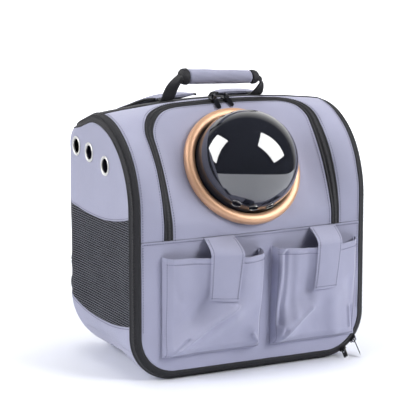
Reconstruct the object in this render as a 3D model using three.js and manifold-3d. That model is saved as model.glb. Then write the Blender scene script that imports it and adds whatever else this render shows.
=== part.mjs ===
// Bubble pet carrier backpack: a soft box bag whose window flap carries a clear dome.
// Millimetres, +Z up. The bag stands on z = 0, faces -Y, and x = 0 is its middle.
import * as THREE from 'three';
import { mergeVertices } from 'three/addons/utils/BufferGeometryUtils.js';
import Module from 'manifold-3d';

const wasm = await Module();
wasm.setup();

// The bag's box
const bodyWidth = 354;
const bodyHeight = 345;
const bodyDepth = 230;
const frontSet = 100; // from the origin forward to the front face
const shoulderRadius = 120; // front of the top, seen from the side
const ridgeRadius = 80;
const rearFall = THREE.MathUtils.degToRad(18.8); // slope of the top behind the ridge
const rearTopRadius = 40;
const baseRadius = 62; // side to base at the front, seen from there
const rearBaseRadius = 84; // the same further back, where the soft side draws in
const frontEdge = 12; // rounding where the front and top meet the sides
const rearEdge = 34; // the same round the back
const topCrown = 12;
const frontCrown = 7;
const rearCrown = 4;

// Cloth
const cloth = 2;
const meshCloth = 1.5;
const paddedCloth = 3;
const seamGap = 0.35; // between two sewn pieces

// Front
const seamDrop = 155; // from the highest line of the bag down to the seam under the flap
const seamHeight = bodyHeight - seamDrop;
const topSeamSet = 6; // the grey top ends this far before the end of the shoulder curve
const flapHalfWidth = 119.5;
const flapCorners = { left: 52, right: 36 };
const zipWidth = 13;
const zipWall = 2.4;
const flapTopSet = 21.5; // from the top seam forward to the top of the flap

// Dome and its ring
const chordRun = 100.5; // round the shoulder, from the flap's top zip down to the ring's flat
const chordDepth = 22; // how deep that flat is pressed into the shoulder
const chordReach = shoulderRadius - chordDepth; // from the shoulder's centre out to it
const ringDrop = 5.5;
const ringOuter = 84;
const ringWidth = 14;
const ringThickness = 12;
const ringRound = 3.5;
const domeWall = 2;
const domeFit = 0.6; // between the dome and its ring
const domeCollar = 19; // straight part of the dome, from the flat
const ventRadius = 7;
const ventCount = 3;
const ventStep = THREE.MathUtils.degToRad(20.5);
const ventSwing = THREE.MathUtils.degToRad(-9.4); // middle vent, round from straight down
const ventLift = 5.5; // above the dome's straight part

// Sides
const sideSeamHeight = 41;
const meshBottom = 65;
const meshDrop = 140; // from the highest line of the bag down to the top of the mesh
const meshTop = bodyHeight - meshDrop;
const grommetOuter = 13.5;
const grommetBore = 10;
const grommetWall = 1.3;
const grommetFit = 0.45;
// Places from the front as shares of the depth, and down from the top there
const grommetPlaces = [
  { name: 'rear', share: 0.783, down: 36.1 },
  { name: 'middle', share: 0.596, down: 52.7 },
  { name: 'front', share: 0.37, down: 59.8 },
];

// Pockets and their tabs
const pockets = [
  { name: 'left', side: -1, inner: -6, outer: 136 }, // edges measured from the middle outwards
  { name: 'right', side: 1, inner: 26, outer: 157 },
];
const pocketBottom = 32;
const pocketMouth = 21; // from the seam down to the pocket's lip
const pocketTop = seamHeight - pocketMouth;
const pocketWall = 1.6;
const pocketOuterDepth = 16;
const pocketInnerDepth = 29;
const tabDrop = 82;
const tabWall = 2;
const tabs = [
  { side: 'left', outerTop: -76, innerTop: -33, outerEnd: -76.5, innerEnd: -41 },
  { side: 'right', outerTop: 124, innerTop: 84, outerEnd: 114.5, innerEnd: 79 },
];

// Handle
const handleSpan = 138; // between the legs' feet
const handleLength = 97;
const gripRise = { left: 45, right: 39 }; // above the highest line of the bag
const gripEnds = [
  { side: -1, thick: 21, height: bodyHeight + gripRise.left, legBow: -4 },
  { side: 1, thick: 18, height: bodyHeight + gripRise.right, legBow: 2 },
];
const handleLean = -1; // y of the grip
const webWidth = 18;
const webWall = 3;
const legFoot = { front: 6, back: 17.5, lift: 1.1 }; // behind the top seam, and clear of the crown

// Shoulder straps
const strapThickness = 11;
const strapTopSet = 14; // behind the highest line of the top
const strapEndHeight = 108;
const strapWebWidth = 25;
const strapWebWall = 2.2;

// Zip sliders
const sliderLength = 10;
const sliderWidth = 8;
const sliderBody = 2.6;
const bridgeLength = 7;
const bridgeWidth = 2;
const bridgeBar = 1;
const pullerBar = 1.2;
const pullerWidth = 7;
const pullerWindow = 5;

const fabricGrey = new THREE.Color(0x9c9db0);
const nearBlack = new THREE.Color(0x232327);
const materials = {
  fabric: new THREE.MeshStandardMaterial({ color: fabricGrey, roughness: 0.85, metalness: 0 }),
  mesh: new THREE.MeshStandardMaterial({ color: 0x2c2c33, roughness: 0.9, metalness: 0 }),
  webbing: new THREE.MeshStandardMaterial({ color: nearBlack, roughness: 0.8, metalness: 0 }),
  ring: new THREE.MeshStandardMaterial({ color: 0xd9925c, roughness: 0.3, metalness: 0.4 }),
  dome: new THREE.MeshStandardMaterial({ color: 0x202024, roughness: 0.05, metalness: 0 }),
  steel: new THREE.MeshStandardMaterial({ color: 0xb9bbc0, roughness: 0.25, metalness: 1 }),
};

const bag = new THREE.Group();
const vector = (x, y, z) => new THREE.Vector3(x, y, z);
const mix = (a, b, t) => a + (b - a) * t;
const ramp = (a, b, x) => THREE.MathUtils.smoothstep(x, a, b);

function addPart(name, geometry, material, parent = bag) {
  const part = new THREE.Mesh(geometry, material);
  part.name = name;
  parent.add(part);
  return part;
}

// Merges what is shared, drops triangles that closed up, and turns the faces outwards.
function closeUp(positions, indices) {
  const raw = new THREE.BufferGeometry();
  raw.setAttribute('position', new THREE.Float32BufferAttribute(positions, 3));
  raw.setIndex(indices);
  const merged = mergeVertices(raw, 1e-3);
  const at = merged.attributes.position;
  const old = merged.index.array;
  const kept = [];
  let volume = 0;
  const [a, b, c] = [vector(), vector(), vector()];
  for (let i = 0; i < old.length; i += 3) {
    const [p, q, r] = [old[i], old[i + 1], old[i + 2]];
    if (p === q || q === r || r === p) continue;
    a.fromBufferAttribute(at, p);
    b.fromBufferAttribute(at, q);
    c.fromBufferAttribute(at, r);
    volume += a.dot(b.clone().cross(c));
    kept.push(p, q, r);
  }
  if (volume < 0) {
    for (let i = 0; i < kept.length; i += 3) [kept[i], kept[i + 1]] = [kept[i + 1], kept[i]];
  }
  merged.setIndex(kept);
  return merged;
}

// A cloth wall over a grid: place(u, v) gives a point on its outer face and the way out.
function clothSheet(columns, rows, wall, place) {
  const positions = [];
  const indices = [];
  const width = columns + 1;
  const layer = width * (rows + 1);
  const layers = [[], []];
  for (let j = 0; j <= rows; j += 1) {
    for (let i = 0; i <= columns; i += 1) {
      const { at, out } = place(i / columns, j / rows);
      layers[0].push(at.x, at.y, at.z);
      layers[1].push(at.x - out.x * wall, at.y - out.y * wall, at.z - out.z * wall);
    }
  }
  positions.push(...layers[0], ...layers[1]);
  const quad = (p, q, r, s) => indices.push(p, q, r, p, r, s);
  for (let j = 0; j < rows; j += 1) {
    for (let i = 0; i < columns; i += 1) {
      const p = j * width + i;
      quad(p, p + 1, p + width + 1, p + width);
      quad(layer + p, layer + p + width, layer + p + width + 1, layer + p + 1);
    }
  }
  for (let i = 0; i < columns; i += 1) {
    const top = rows * width + i;
    quad(i + 1, i, layer + i, layer + i + 1);
    quad(top, top + 1, layer + top + 1, layer + top);
  }
  for (let j = 0; j < rows; j += 1) {
    const left = j * width;
    const right = left + columns;
    quad(left, left + width, layer + left + width, layer + left);
    quad(right + width, right, layer + right, layer + right + width);
  }
  return closeUp(positions, indices);
}

// A bar through a row of like sections, each a loop of points round a convex outline.
function barThrough(sections) {
  const positions = sections.flat().flatMap((p) => [p.x, p.y, p.z]);
  const indices = [];
  const count = sections[0].length;
  for (let j = 0; j < sections.length - 1; j += 1) {
    for (let i = 0; i < count; i += 1) {
      const p = j * count + i;
      const q = j * count + ((i + 1) % count);
      indices.push(p, q, q + count, p, q + count, p + count);
    }
  }
  const last = (sections.length - 1) * count;
  for (let i = 1; i < count - 1; i += 1) {
    indices.push(0, i + 1, i, last, last + i, last + i + 1);
  }
  return closeUp(positions, indices);
}

function toSolid(geometry) {
  const bare = geometry.clone();
  bare.deleteAttribute('normal');
  bare.deleteAttribute('uv');
  const merged = mergeVertices(bare, 1e-4);
  return new wasm.Manifold(new wasm.Mesh({
    numProp: 3,
    vertProperties: new Float32Array(merged.attributes.position.array),
    triVerts: new Uint32Array(merged.index.array),
  }));
}

function fromSolid(solid) {
  const { vertProperties, triVerts } = solid.getMesh();
  return closeUp(Array.from(vertProperties), Array.from(triVerts));
}

const cutFrom = (geometry, ...tools) => fromSolid(
  tools.reduce((left, tool) => left.subtract(toSolid(tool)), toSolid(geometry)),
);

// The bag's outline from the side, run from the front of the base up, over and down the back.
const frontY = -frontSet;
const backY = bodyDepth - frontSet;
const halfBody = bodyWidth / 2;
const shoulderY = frontY + shoulderRadius;
const shoulderZ = bodyHeight - shoulderRadius;
const shoulderRun = shoulderRadius * Math.PI / 2;
const ridgeEnd = {
  y: shoulderY + ridgeRadius * Math.sin(rearFall),
  z: bodyHeight - ridgeRadius * (1 - Math.cos(rearFall)),
};
const rearCentreY = backY - rearTopRadius;
const slopeRun = (rearCentreY + rearTopRadius * Math.sin(rearFall) - ridgeEnd.y) / Math.cos(rearFall);
const rearCentreZ = ridgeEnd.z - slopeRun * Math.sin(rearFall) - rearTopRadius * Math.cos(rearFall);
const rearTurn = Math.PI / 2 - rearFall;
const stations = { shoulder: shoulderZ };
stations.top = stations.shoulder + shoulderRun;
stations.slope = stations.top + ridgeRadius * rearFall;
stations.rearTurn = stations.slope + slopeRun;
stations.back = stations.rearTurn + rearTopRadius * rearTurn;
stations.end = stations.back + rearCentreZ;
const backStation = (z) => stations.end - z;

function outline(s) {
  if (s <= stations.shoulder) return { y: frontY, z: s, ny: -1, nz: 0 };
  if (s <= stations.top) {
    const turn = (s - stations.shoulder) / shoulderRadius;
    const [ny, nz] = [-Math.cos(turn), Math.sin(turn)];
    return { y: shoulderY + shoulderRadius * ny, z: shoulderZ + shoulderRadius * nz, ny, nz };
  }
  if (s <= stations.slope) {
    const turn = (s - stations.top) / ridgeRadius;
    const [ny, nz] = [Math.sin(turn), Math.cos(turn)];
    return { y: shoulderY + ridgeRadius * ny, z: bodyHeight - ridgeRadius * (1 - nz), ny, nz };
  }
  if (s <= stations.rearTurn) {
    const run = s - stations.slope;
    const [ny, nz] = [Math.sin(rearFall), Math.cos(rearFall)];
    return { y: ridgeEnd.y + run * nz, z: ridgeEnd.z - run * ny, ny, nz };
  }
  if (s <= stations.back) {
    const turn = rearFall + (s - stations.rearTurn) / rearTopRadius;
    const [ny, nz] = [Math.sin(turn), Math.cos(turn)];
    return { y: rearCentreY + rearTopRadius * ny, z: rearCentreZ + rearTopRadius * nz, ny, nz };
  }
  return { y: backY, z: stations.end - s, ny: 1, nz: 0 };
}

// The height of the top over a place between the front and the back
function topAt(y) {
  let [low, high] = [stations.shoulder, stations.back];
  while (high - low > 1e-3) {
    const half = (low + high) / 2;
    if (outline(half).y < y) low = half;
    else high = half;
  }
  return outline(low).z;
}
const grommets = grommetPlaces.map(({ name, share, down }) => {
  const back = bodyDepth * share - frontSet;
  return { name, back, height: topAt(back) - down };
});

const drawnInBy = shoulderY; // the side's base is fully drawn in from here back
const baseRadiusAt = (y) => mix(baseRadius, rearBaseRadius, ramp(frontY + frontEdge, drawnInBy, y));
const edgeAt = (s) => mix(frontEdge, rearEdge, ramp(stations.slope + slopeRun / 3, stations.back, s));
const halfWidthAt = (s) => halfBody - edgeAt(s);

function crownAt(s) {
  const front = mix(0, frontCrown, ramp(0, seamHeight, s));
  const rise = mix(front, topCrown, ramp(stations.shoulder, stations.top, s));
  return mix(rise, rearCrown, ramp(stations.slope, stations.back, s));
}

// The flat on the shoulder that the dome's ring is sewn to, and its lean
const zipTurn = Math.acos(topSeamSet / shoulderRadius) - (flapTopSet - zipWidth / 2) / shoulderRadius;
const chordTilt = zipTurn - chordRun / shoulderRadius;
const chordOut = vector(0, -Math.cos(chordTilt), Math.sin(chordTilt));
const chordUp = vector(0, Math.sin(chordTilt), Math.cos(chordTilt));
const shoulderCentre = vector(0, shoulderY, shoulderZ);
const chordSoftness = 4;
const chordEdge = { full: ringOuter + 6, none: flapHalfWidth + 40 };

// A point of the front, top or back: x across, s along the outline.
function wrapPoint(x, s, proud = 0) {
  const p = outline(s);
  const out = vector(0, p.ny, p.nz);
  const across = Math.min(1, Math.abs(x) / halfWidthAt(s));
  const crown = crownAt(s) * (1 - across ** 2);
  const at = vector(x, p.y, p.z).addScaledVector(out, crown);
  const over = at.clone().sub(shoulderCentre).dot(chordOut) - chordReach;
  const facing = out.dot(chordOut);
  if (facing > 0.3) {
    const pressed = (over + Math.hypot(over, chordSoftness)) / 2;
    const share = 1 - ramp(chordEdge.full, chordEdge.none, Math.abs(x));
    const fade = ramp(0.3, 0.6, facing);
    at.addScaledVector(out, -pressed * share * fade / facing);
  }
  return { at: at.addScaledVector(out, proud), out };
}

// Where the wrap meets a side: a quarter round whose radius follows the outline.
const bandRun = frontEdge * Math.PI / 2;
const bandTurn = (radius) => Math.min(Math.PI / 2, bandRun / radius);

function edgeFrame(side, s) {
  const p = outline(s);
  const radius = edgeAt(s);
  return {
    radius,
    centre: vector(side * (halfBody - radius), p.y - p.ny * radius, p.z - p.nz * radius),
    face: vector(0, p.ny, p.nz),
    flank: vector(side, 0, 0),
  };
}

// The same round at the base, where the front or back meets the base's rounded corner.
function cornerFrame(side, turn, front, x) {
  const radius = front ? frontEdge : rearEdge;
  const around = front ? baseRadius : rearBaseRadius;
  const inner = around - radius;
  return {
    radius,
    centre: vector(
      side * ((x ?? halfBody - around) + inner * Math.sin(turn)),
      front ? frontY + radius : backY - radius,
      around - inner * Math.cos(turn),
    ),
    face: vector(0, front ? -1 : 1, 0),
    flank: vector(side * Math.sin(turn), 0, -Math.cos(turn)),
  };
}

function onEdge(frame, turn) {
  const out = frame.face.clone().multiplyScalar(Math.cos(turn))
    .addScaledVector(frame.flank, Math.sin(turn));
  return { at: frame.centre.clone().addScaledVector(out, frame.radius), out };
}

function edgeBand(name, frames) {
  const steps = frames.length - 1;
  const place = (u, v) => {
    const frame = frames[Math.round(u * steps)];
    return onEdge(frame, bandTurn(frame.radius) * v);
  };
  addPart(name, clothSheet(steps, 3, cloth, place), materials.webbing);
}

const spread = (from, to, count) => Array.from(
  { length: count + 1 },
  (_, i) => mix(from, to, i / count),
);

const baseHalf = halfBody - baseRadius;
const gapTurn = seamGap / baseRadius;
for (const [name, side] of [['left', -1], ['right', 1]]) {
  edgeBand(`${name}_edge_band`, [
    ...spread(gapTurn, Math.PI / 2, 7).map((turn) => cornerFrame(side, turn, true)),
    ...spread(baseRadius, stations.shoulder, 3).slice(1).map((s) => edgeFrame(side, s)),
    ...spread(stations.shoulder, stations.top, 12).slice(1).map((s) => edgeFrame(side, s)),
    ...spread(stations.top, stations.rearTurn, 5).slice(1).map((s) => edgeFrame(side, s)),
    ...spread(stations.rearTurn, stations.back - seamGap, 6).slice(1).map((s) => edgeFrame(side, s)),
  ]);
}
edgeBand('bottom_edge_band', spread(-baseHalf, baseHalf, 4).map((x) => cornerFrame(1, 0, true, x)));
edgeBand('rear_edge_band', [
  ...spread(stations.back, backStation(rearBaseRadius), 4).map((s) => edgeFrame(-1, s)),
  ...spread(Math.PI / 2, 0, 6).slice(1).map((turn) => cornerFrame(-1, turn, false)),
  ...spread(0, Math.PI / 2, 6).map((turn) => cornerFrame(1, turn, false)),
  ...spread(backStation(rearBaseRadius), stations.back, 4).slice(1).map((s) => edgeFrame(1, s)),
]);

// Columns across the flat front or back, with the base's rounded corners in its lower edge.
function faceColumns(radius, around, count) {
  const inner = around - radius - seamGap;
  const flatHalf = halfBody - around;
  const corner = spread(0, Math.PI / 2, count).map((turn) => ({
    x: flatHalf + inner * Math.sin(turn),
    low: around - inner * Math.cos(turn),
  }));
  const mirrored = corner.map(({ x, low }) => ({ x: -x, low })).reverse();
  const flat = spread(-flatHalf, flatHalf, 6).slice(1, -1)
    .map((x) => ({ x, low: radius + seamGap }));
  return [...mirrored, ...flat, ...corner];
}

const frontColumns = faceColumns(frontEdge, baseRadius, 4);
addPart('lower_front_panel', clothSheet(frontColumns.length - 1, 5, cloth, (u, v) => {
  const { x, low } = frontColumns[Math.round(u * (frontColumns.length - 1))];
  return wrapPoint(x, mix(low, seamHeight - seamGap, v));
}), materials.fabric);

const rearColumns = faceColumns(rearEdge, rearBaseRadius, 3);
addPart('back_panel', clothSheet(rearColumns.length - 1, 4, paddedCloth, (u, v) => {
  const { x, low } = rearColumns[Math.round(u * (rearColumns.length - 1))];
  return wrapPoint(x, backStation(mix(low, rearCentreZ - seamGap, v)));
}), materials.fabric);

// The flap's outline on the unrolled front: half width at each station.
const topSeam = stations.shoulder + shoulderRadius * Math.acos(topSeamSet / shoulderRadius);
const flapTop = topSeam - flapTopSet;
const flapOutline = (side, grow) => ({
  half: flapHalfWidth + grow,
  top: flapTop + grow,
  corner: (side < 0 ? flapCorners.left : flapCorners.right) + grow,
});
const bendSteps = 6;
function flapBend({ half, top, corner }) {
  return spread(0, Math.PI / 2, bendSteps).map((turn) => ({
    x: half - corner + corner * Math.cos(turn),
    s: top - corner + corner * Math.sin(turn),
  }));
}
function flapHalfAt(shape, s) {
  const bend = flapBend(shape);
  const next = bend.findIndex((point) => point.s >= s - 1e-6);
  if (next <= 0) return shape.half;
  const [a, b] = [bend[next - 1], bend[next]];
  return mix(a.x, b.x, (s - a.s) / (b.s - a.s));
}
function flapRim(grow, first) {
  const halfRim = (side) => {
    const shape = flapOutline(side, grow);
    const leg = spread(first, shape.top - shape.corner, 12).map((s) => [side * shape.half, s]);
    return [...leg, ...flapBend(shape).slice(1).map(({ x, s }) => [side * x, s])];
  };
  const [left, right] = [halfRim(-1), halfRim(1).reverse()];
  const across = spread(left.at(-1)[0], right[0][0], 8).slice(1, -1)
    .map((x) => [x, flapTop + grow]);
  return [...left, ...across, ...right];
}

function stripOnWrap(outer, inner, wall, proud) {
  const last = outer.length - 1;
  return clothSheet(last, 1, wall, (u, v) => {
    const i = Math.round(u * last);
    return wrapPoint(mix(outer[i][0], inner[i][0], v), mix(outer[i][1], inner[i][1], v), proud);
  });
}
const firstStation = seamHeight + seamGap;
addPart('flap_zipper', stripOnWrap(
  flapRim(zipWidth - seamGap, firstStation),
  flapRim(seamGap, firstStation),
  zipWall,
  zipWall - cloth,
), materials.webbing);

// The grey surround: both cheeks and the strip over the flap, in one piece of cloth.
function outlineRows(shape, first, legSteps) {
  const leg = spread(first, shape.top - shape.corner, legSteps);
  return [...leg, ...flapBend(shape).slice(1).map(({ s }) => s)];
}
function surroundCheek(side) {
  const shape = flapOutline(side, zipWidth);
  const rows = outlineRows(shape, firstStation, 8);
  return clothSheet(3, rows.length - 1, cloth, (u, v) => {
    const s = rows[Math.round(v * (rows.length - 1))];
    return wrapPoint(side * mix(flapHalfAt(shape, s), halfWidthAt(s) - seamGap, u), s);
  });
}
function surroundTop() {
  const shapes = [flapOutline(-1, zipWidth), flapOutline(1, zipWidth)];
  const [left, right] = shapes.map(({ half, corner }) => half - corner);
  const edge = halfWidthAt(topSeam) - seamGap;
  const columns = [
    ...spread(-edge, -left, 3),
    ...spread(-left, right, 8).slice(1, -1),
    ...spread(right, edge, 3),
  ];
  const last = columns.length - 1;
  return clothSheet(last, 1, cloth, (u, v) => {
    const x = columns[Math.round(u * last)];
    return wrapPoint(x, mix(shapes[0].top, topSeam - seamGap, v));
  });
}
addPart('flap_surround', fromSolid(
  [surroundCheek(-1), surroundCheek(1)].reduce(
    (whole, cheek) => whole.add(toSolid(cheek)),
    toSolid(surroundTop()),
  ),
), materials.fabric);

const ringCentre = shoulderCentre.clone().addScaledVector(chordOut, chordReach)
  .addScaledVector(chordUp, -ringDrop);
const ringInner = ringOuter - ringWidth;
const domeGroup = new THREE.Group();
domeGroup.position.copy(ringCentre);
domeGroup.quaternion.setFromUnitVectors(vector(0, 1, 0), chordOut);
bag.add(domeGroup);
domeGroup.updateMatrixWorld(true);

const flapHole = new THREE.CylinderGeometry(ringInner + 1, ringInner + 1, 60, 40);
flapHole.applyMatrix4(domeGroup.matrixWorld);
const flapRows = outlineRows(flapOutline(-1, 0), firstStation, 8);
const flapSheet = clothSheet(12, flapRows.length - 1, cloth, (u, v) => {
  const s = flapRows[Math.round(v * (flapRows.length - 1))];
  const [left, right] = [flapHalfAt(flapOutline(-1, 0), s), flapHalfAt(flapOutline(1, 0), s)];
  return wrapPoint(mix(-left, right, u), s);
});
addPart('window_flap', cutFrom(flapSheet, flapHole), materials.fabric);

addPart('rear_top_panel', clothSheet(8, 10, cloth, (u, v) => {
  const s = mix(topSeam + seamGap, stations.back - seamGap, v);
  return wrapPoint(mix(-1, 1, u) * (halfWidthAt(s) - seamGap), s);
}), materials.webbing);

// The ring and the dome turn about the local Y axis, which points out of the flap.
function turned(profile, sides) {
  const points = profile.map(([r, h]) => new THREE.Vector2(Math.max(r, 0), h));
  const lathe = new THREE.LatheGeometry([...points, points[0].clone()], sides);
  lathe.deleteAttribute('normal');
  lathe.deleteAttribute('uv');
  const merged = mergeVertices(lathe, 1e-3);
  return closeUp(Array.from(merged.attributes.position.array), Array.from(merged.index.array));
}
const ringLow = seamGap;
const ringHigh = ringLow + ringThickness;
const ringSides = 36;
addPart('dome_ring', turned([
  [ringInner, ringLow],
  [ringOuter - 1, ringLow],
  [ringOuter, ringLow + 1],
  [ringOuter, ringHigh - ringRound],
  [ringOuter - ringRound, ringHigh],
  [ringInner + ringRound, ringHigh],
  [ringInner, ringHigh - ringRound],
], ringSides), materials.ring, domeGroup);

const domeRadius = ringInner - domeFit;
const domeSteps = 6;
const domeSides = 26;
function domeProfile() {
  const arc = (radius) => spread(0, Math.PI / 2, domeSteps).map((turn) => [
    radius * Math.cos(turn),
    domeCollar + radius * Math.sin(turn),
  ]);
  const outer = arc(domeRadius);
  const inner = arc(domeRadius - domeWall).reverse();
  return [[domeRadius, ringLow], ...outer, ...inner, [domeRadius - domeWall, ringLow]];
}
function ventTool(index) {
  const tool = new THREE.CylinderGeometry(ventRadius, ventRadius, 30, 12);
  const swing = ventSwing + (index - (ventCount - 1) / 2) * ventStep;
  const way = vector(Math.sin(swing), 0, Math.cos(swing));
  const turn = new THREE.Quaternion().setFromUnitVectors(vector(0, 1, 0), way);
  tool.applyQuaternion(turn);
  tool.translate(way.x * domeRadius, domeCollar + ventLift, way.z * domeRadius);
  return tool;
}
const vents = Array.from({ length: ventCount }, (_, index) => ventTool(index));
addPart('dome', cutFrom(turned(domeProfile(), domeSides), ...vents), materials.dome, domeGroup);

// Sides. A point is placed by y and z, and bends in where the outline's edge is rounded.
const outlineSteps = spread(0, stations.end, 150).map((s) => ({ s, ...outline(s) }));
function nearestOnOutline(y, z) {
  let best = { gap: Infinity };
  for (let i = 1; i < outlineSteps.length; i += 1) {
    const [a, b] = [outlineSteps[i - 1], outlineSteps[i]];
    const [ey, ez] = [b.y - a.y, b.z - a.z];
    const t = Math.min(1, Math.max(0, ((y - a.y) * ey + (z - a.z) * ez) / (ey ** 2 + ez ** 2)));
    const s = mix(a.s, b.s, t);
    const p = outline(s);
    const gap = Math.hypot(y - p.y, z - p.z);
    if (gap < best.gap) best = { gap, s, ...p };
  }
  return best;
}
function sidePoint(side, y, z) {
  const near = nearestOnOutline(y, z);
  const radius = edgeAt(near.s);
  const bend = Math.min(1, Math.max(0, (radius - near.gap) / radius));
  const inset = radius * (1 - Math.sqrt(1 - bend ** 2));
  const around = baseRadiusAt(y);
  const turn = z < around ? Math.asin((around - z) / around) : 0;
  const flank = vector(side * Math.cos(turn), 0, -Math.sin(turn));
  const at = vector(side * (halfBody - around * (1 - Math.cos(turn))), y, z)
    .addScaledVector(flank, -inset);
  const out = flank.multiplyScalar(Math.sqrt(1 - bend ** 2))
    .addScaledVector(vector(0, near.ny, near.nz), bend);
  return { at, out };
}

// The side's own edge in y and z, along the bands.
function sideRim(s) {
  const frame = edgeFrame(1, s);
  const turn = bandTurn(frame.radius) + seamGap / frame.radius;
  const way = frame.face.multiplyScalar(frame.radius * Math.cos(turn));
  return { y: frame.centre.y + way.y, z: frame.centre.z + way.z };
}
const rimFront = sideRim(seamHeight).y;
const rimBack = sideRim(backStation(seamHeight)).y;

// Coons patch between four edge curves in y and z, then laid on the side.
function sideSheet(side, columns, rows, wall, edges) {
  const { low, high, front, back } = edges;
  return clothSheet(columns, rows, wall, (u, v) => {
    const at = (key) => (
      mix(low(u)[key], high(u)[key], v) + mix(front(v)[key], back(v)[key], u)
      - mix(mix(low(0)[key], low(1)[key], u), mix(high(0)[key], high(1)[key], u), v)
    );
    return sidePoint(side, at('y'), at('z'));
  });
}
const sagLine = (level, frontRise, backRise, lift = 0) => (u) => {
  const y = mix(rimFront, rimBack, u);
  const middle = mix(frontY, backY, 0.5);
  const away = (y - middle) / (bodyDepth / 2);
  return { y, z: level + lift + (away < 0 ? frontRise : backRise) * away ** 2 };
};
const meshLow = (lift) => sagLine(meshBottom, 13, 25, lift);
const meshHigh = (lift) => sagLine(meshTop, 18, 10, lift);
const upright = (low, high, u) => (v) => ({ y: low(u).y, z: mix(low(u).z, high(u).z, v) });

const upperFrontTurn = stations.shoulder + shoulderRadius * 0.35;
const upperBackTurn = stations.rearTurn + rearTopRadius * 0.5;
function upperSide(side) {
  const low = meshHigh(seamGap);
  const rimBetween = (from, to) => (t) => sideRim(mix(from, to, t));
  return sideSheet(side, 14, 5, cloth, {
    low,
    high: rimBetween(upperFrontTurn, upperBackTurn),
    front: rimBetween(low(0).z, upperFrontTurn),
    back: rimBetween(backStation(low(1).z), upperBackTurn),
  });
}
function sideBand(side, rows, wall, low, high) {
  return sideSheet(side, 12, rows, wall, {
    low,
    high,
    front: upright(low, high, 0),
    back: upright(low, high, 1),
  });
}
const grommetSides = 10;
const grommetHole = new THREE.CylinderGeometry(grommetOuter - 2, grommetOuter - 2, 40, 16);
grommetHole.rotateZ(Math.PI / 2);

// Seen along the hole: an outer flange, a barrel through the cloth and an inner flange.
function grommetRing() {
  const outerFace = grommetFit;
  const innerFace = -cloth - grommetFit;
  return turned([
    [grommetBore, outerFace + grommetWall],
    [grommetOuter, outerFace + grommetWall / 2],
    [grommetOuter, outerFace],
    [grommetBore + 1, outerFace],
    [grommetBore + 1, innerFace],
    [grommetOuter, innerFace],
    [grommetOuter, innerFace - grommetWall / 2],
    [grommetBore, innerFace - grommetWall],
  ], grommetSides);
}
for (const [name, side] of [['left', -1], ['right', 1]]) {
  const holes = grommets.map(({ back, height }) => (
    grommetHole.clone().translate(side * halfBody, back, height)
  ));
  addPart(`${name}_upper_side`, cutFrom(upperSide(side), ...holes), materials.fabric);
  addPart(`${name}_mesh`, sideBand(side, 3, meshCloth, meshLow(seamGap), meshHigh(0)), materials.mesh);
  const seam = (u) => ({ y: mix(rimFront, rimBack, u), z: sideSeamHeight });
  addPart(`${name}_lower_side`, sideBand(side, 2, cloth, seam, meshLow(0)), materials.fabric);
  for (const { name: place, back, height } of grommets) {
    const ring = addPart(`${name}_grommet_${place}`, grommetRing(), materials.steel);
    ring.position.set(side * halfBody, back, height);
    ring.quaternion.setFromUnitVectors(vector(0, 1, 0), vector(side, 0, 0));
  }
}

// The base: flat between its rounded sides, and turned up at the back.
const baseColumns = [
  ...spread(-1, 0, 5).map((turned) => ({ across: -1, turned })),
  ...spread(-1, 1, 4).slice(1, -1).map((across) => ({ across, turned: 0 })),
  ...spread(0, 1, 5).map((turned) => ({ across: 1, turned })),
];
const rearBandTurn = Math.PI / 2 - bandTurn(rearEdge) - seamGap / rearEdge;
const baseRows = [
  ...spread(frontY + frontEdge + seamGap, drawnInBy, 3).map((y) => ({ y, bend: 0 })),
  { y: backY - rearEdge, bend: 0 },
  ...spread(0, rearBandTurn, 4).slice(1).map((bend) => ({ y: backY - rearEdge, bend })),
];
const baseSheet = clothSheet(baseColumns.length - 1, baseRows.length - 1, paddedCloth, (u, v) => {
  const { across, turned } = baseColumns[Math.round(u * (baseColumns.length - 1))];
  const { y, bend } = baseRows[Math.round(v * (baseRows.length - 1))];
  const around = baseRadiusAt(y);
  const turn = turned * (Math.acos((around - sideSeamHeight) / around) - gapTurn);
  const flank = vector(Math.sin(turn), 0, -Math.cos(turn));
  const out = flank.clone().multiplyScalar(Math.cos(bend))
    .addScaledVector(vector(0, 1, 0), Math.sin(bend));
  const at = vector(across * (halfBody - around), y, around)
    .addScaledVector(flank, around - rearEdge).addScaledVector(out, rearEdge);
  return { at, out };
});
addPart('base_panel', baseSheet, materials.fabric);

// Pockets: sewn down both sides and the bottom, open at the top, with sagging folds.
// A fold runs between two places given as shares of the pocket's width and height.
const pocketFolds = {
  left: [
    { fromWide: 0.62, fromHigh: 0.42, toWide: 0.06, toHigh: 0.02, rise: 9, width: 0.12 },
    { fromWide: 0.30, fromHigh: 0.95, toWide: 0.34, toHigh: 0.45, rise: -7, width: 0.16 },
    { fromWide: 0.90, fromHigh: 0.20, toWide: 1.00, toHigh: 0.02, rise: 4, width: 0.08 },
    { fromWide: 0.78, fromHigh: 0.96, toWide: 0.80, toHigh: 0.55, rise: 4, width: 0.12 },
  ],
  right: [
    { fromWide: 0.36, fromHigh: 0.40, toWide: 0.04, toHigh: 0.08, rise: 7, width: 0.11 },
    { fromWide: 0.16, fromHigh: 0.96, toWide: 0.22, toHigh: 0.45, rise: -8, width: 0.14 },
    { fromWide: 0.66, fromHigh: 0.40, toWide: 0.72, toHigh: 0.06, rise: 4, width: 0.10 },
    { fromWide: 0.90, fromHigh: 0.55, toWide: 0.97, toHigh: 0.10, rise: -3, width: 0.08 },
  ],
};
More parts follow.
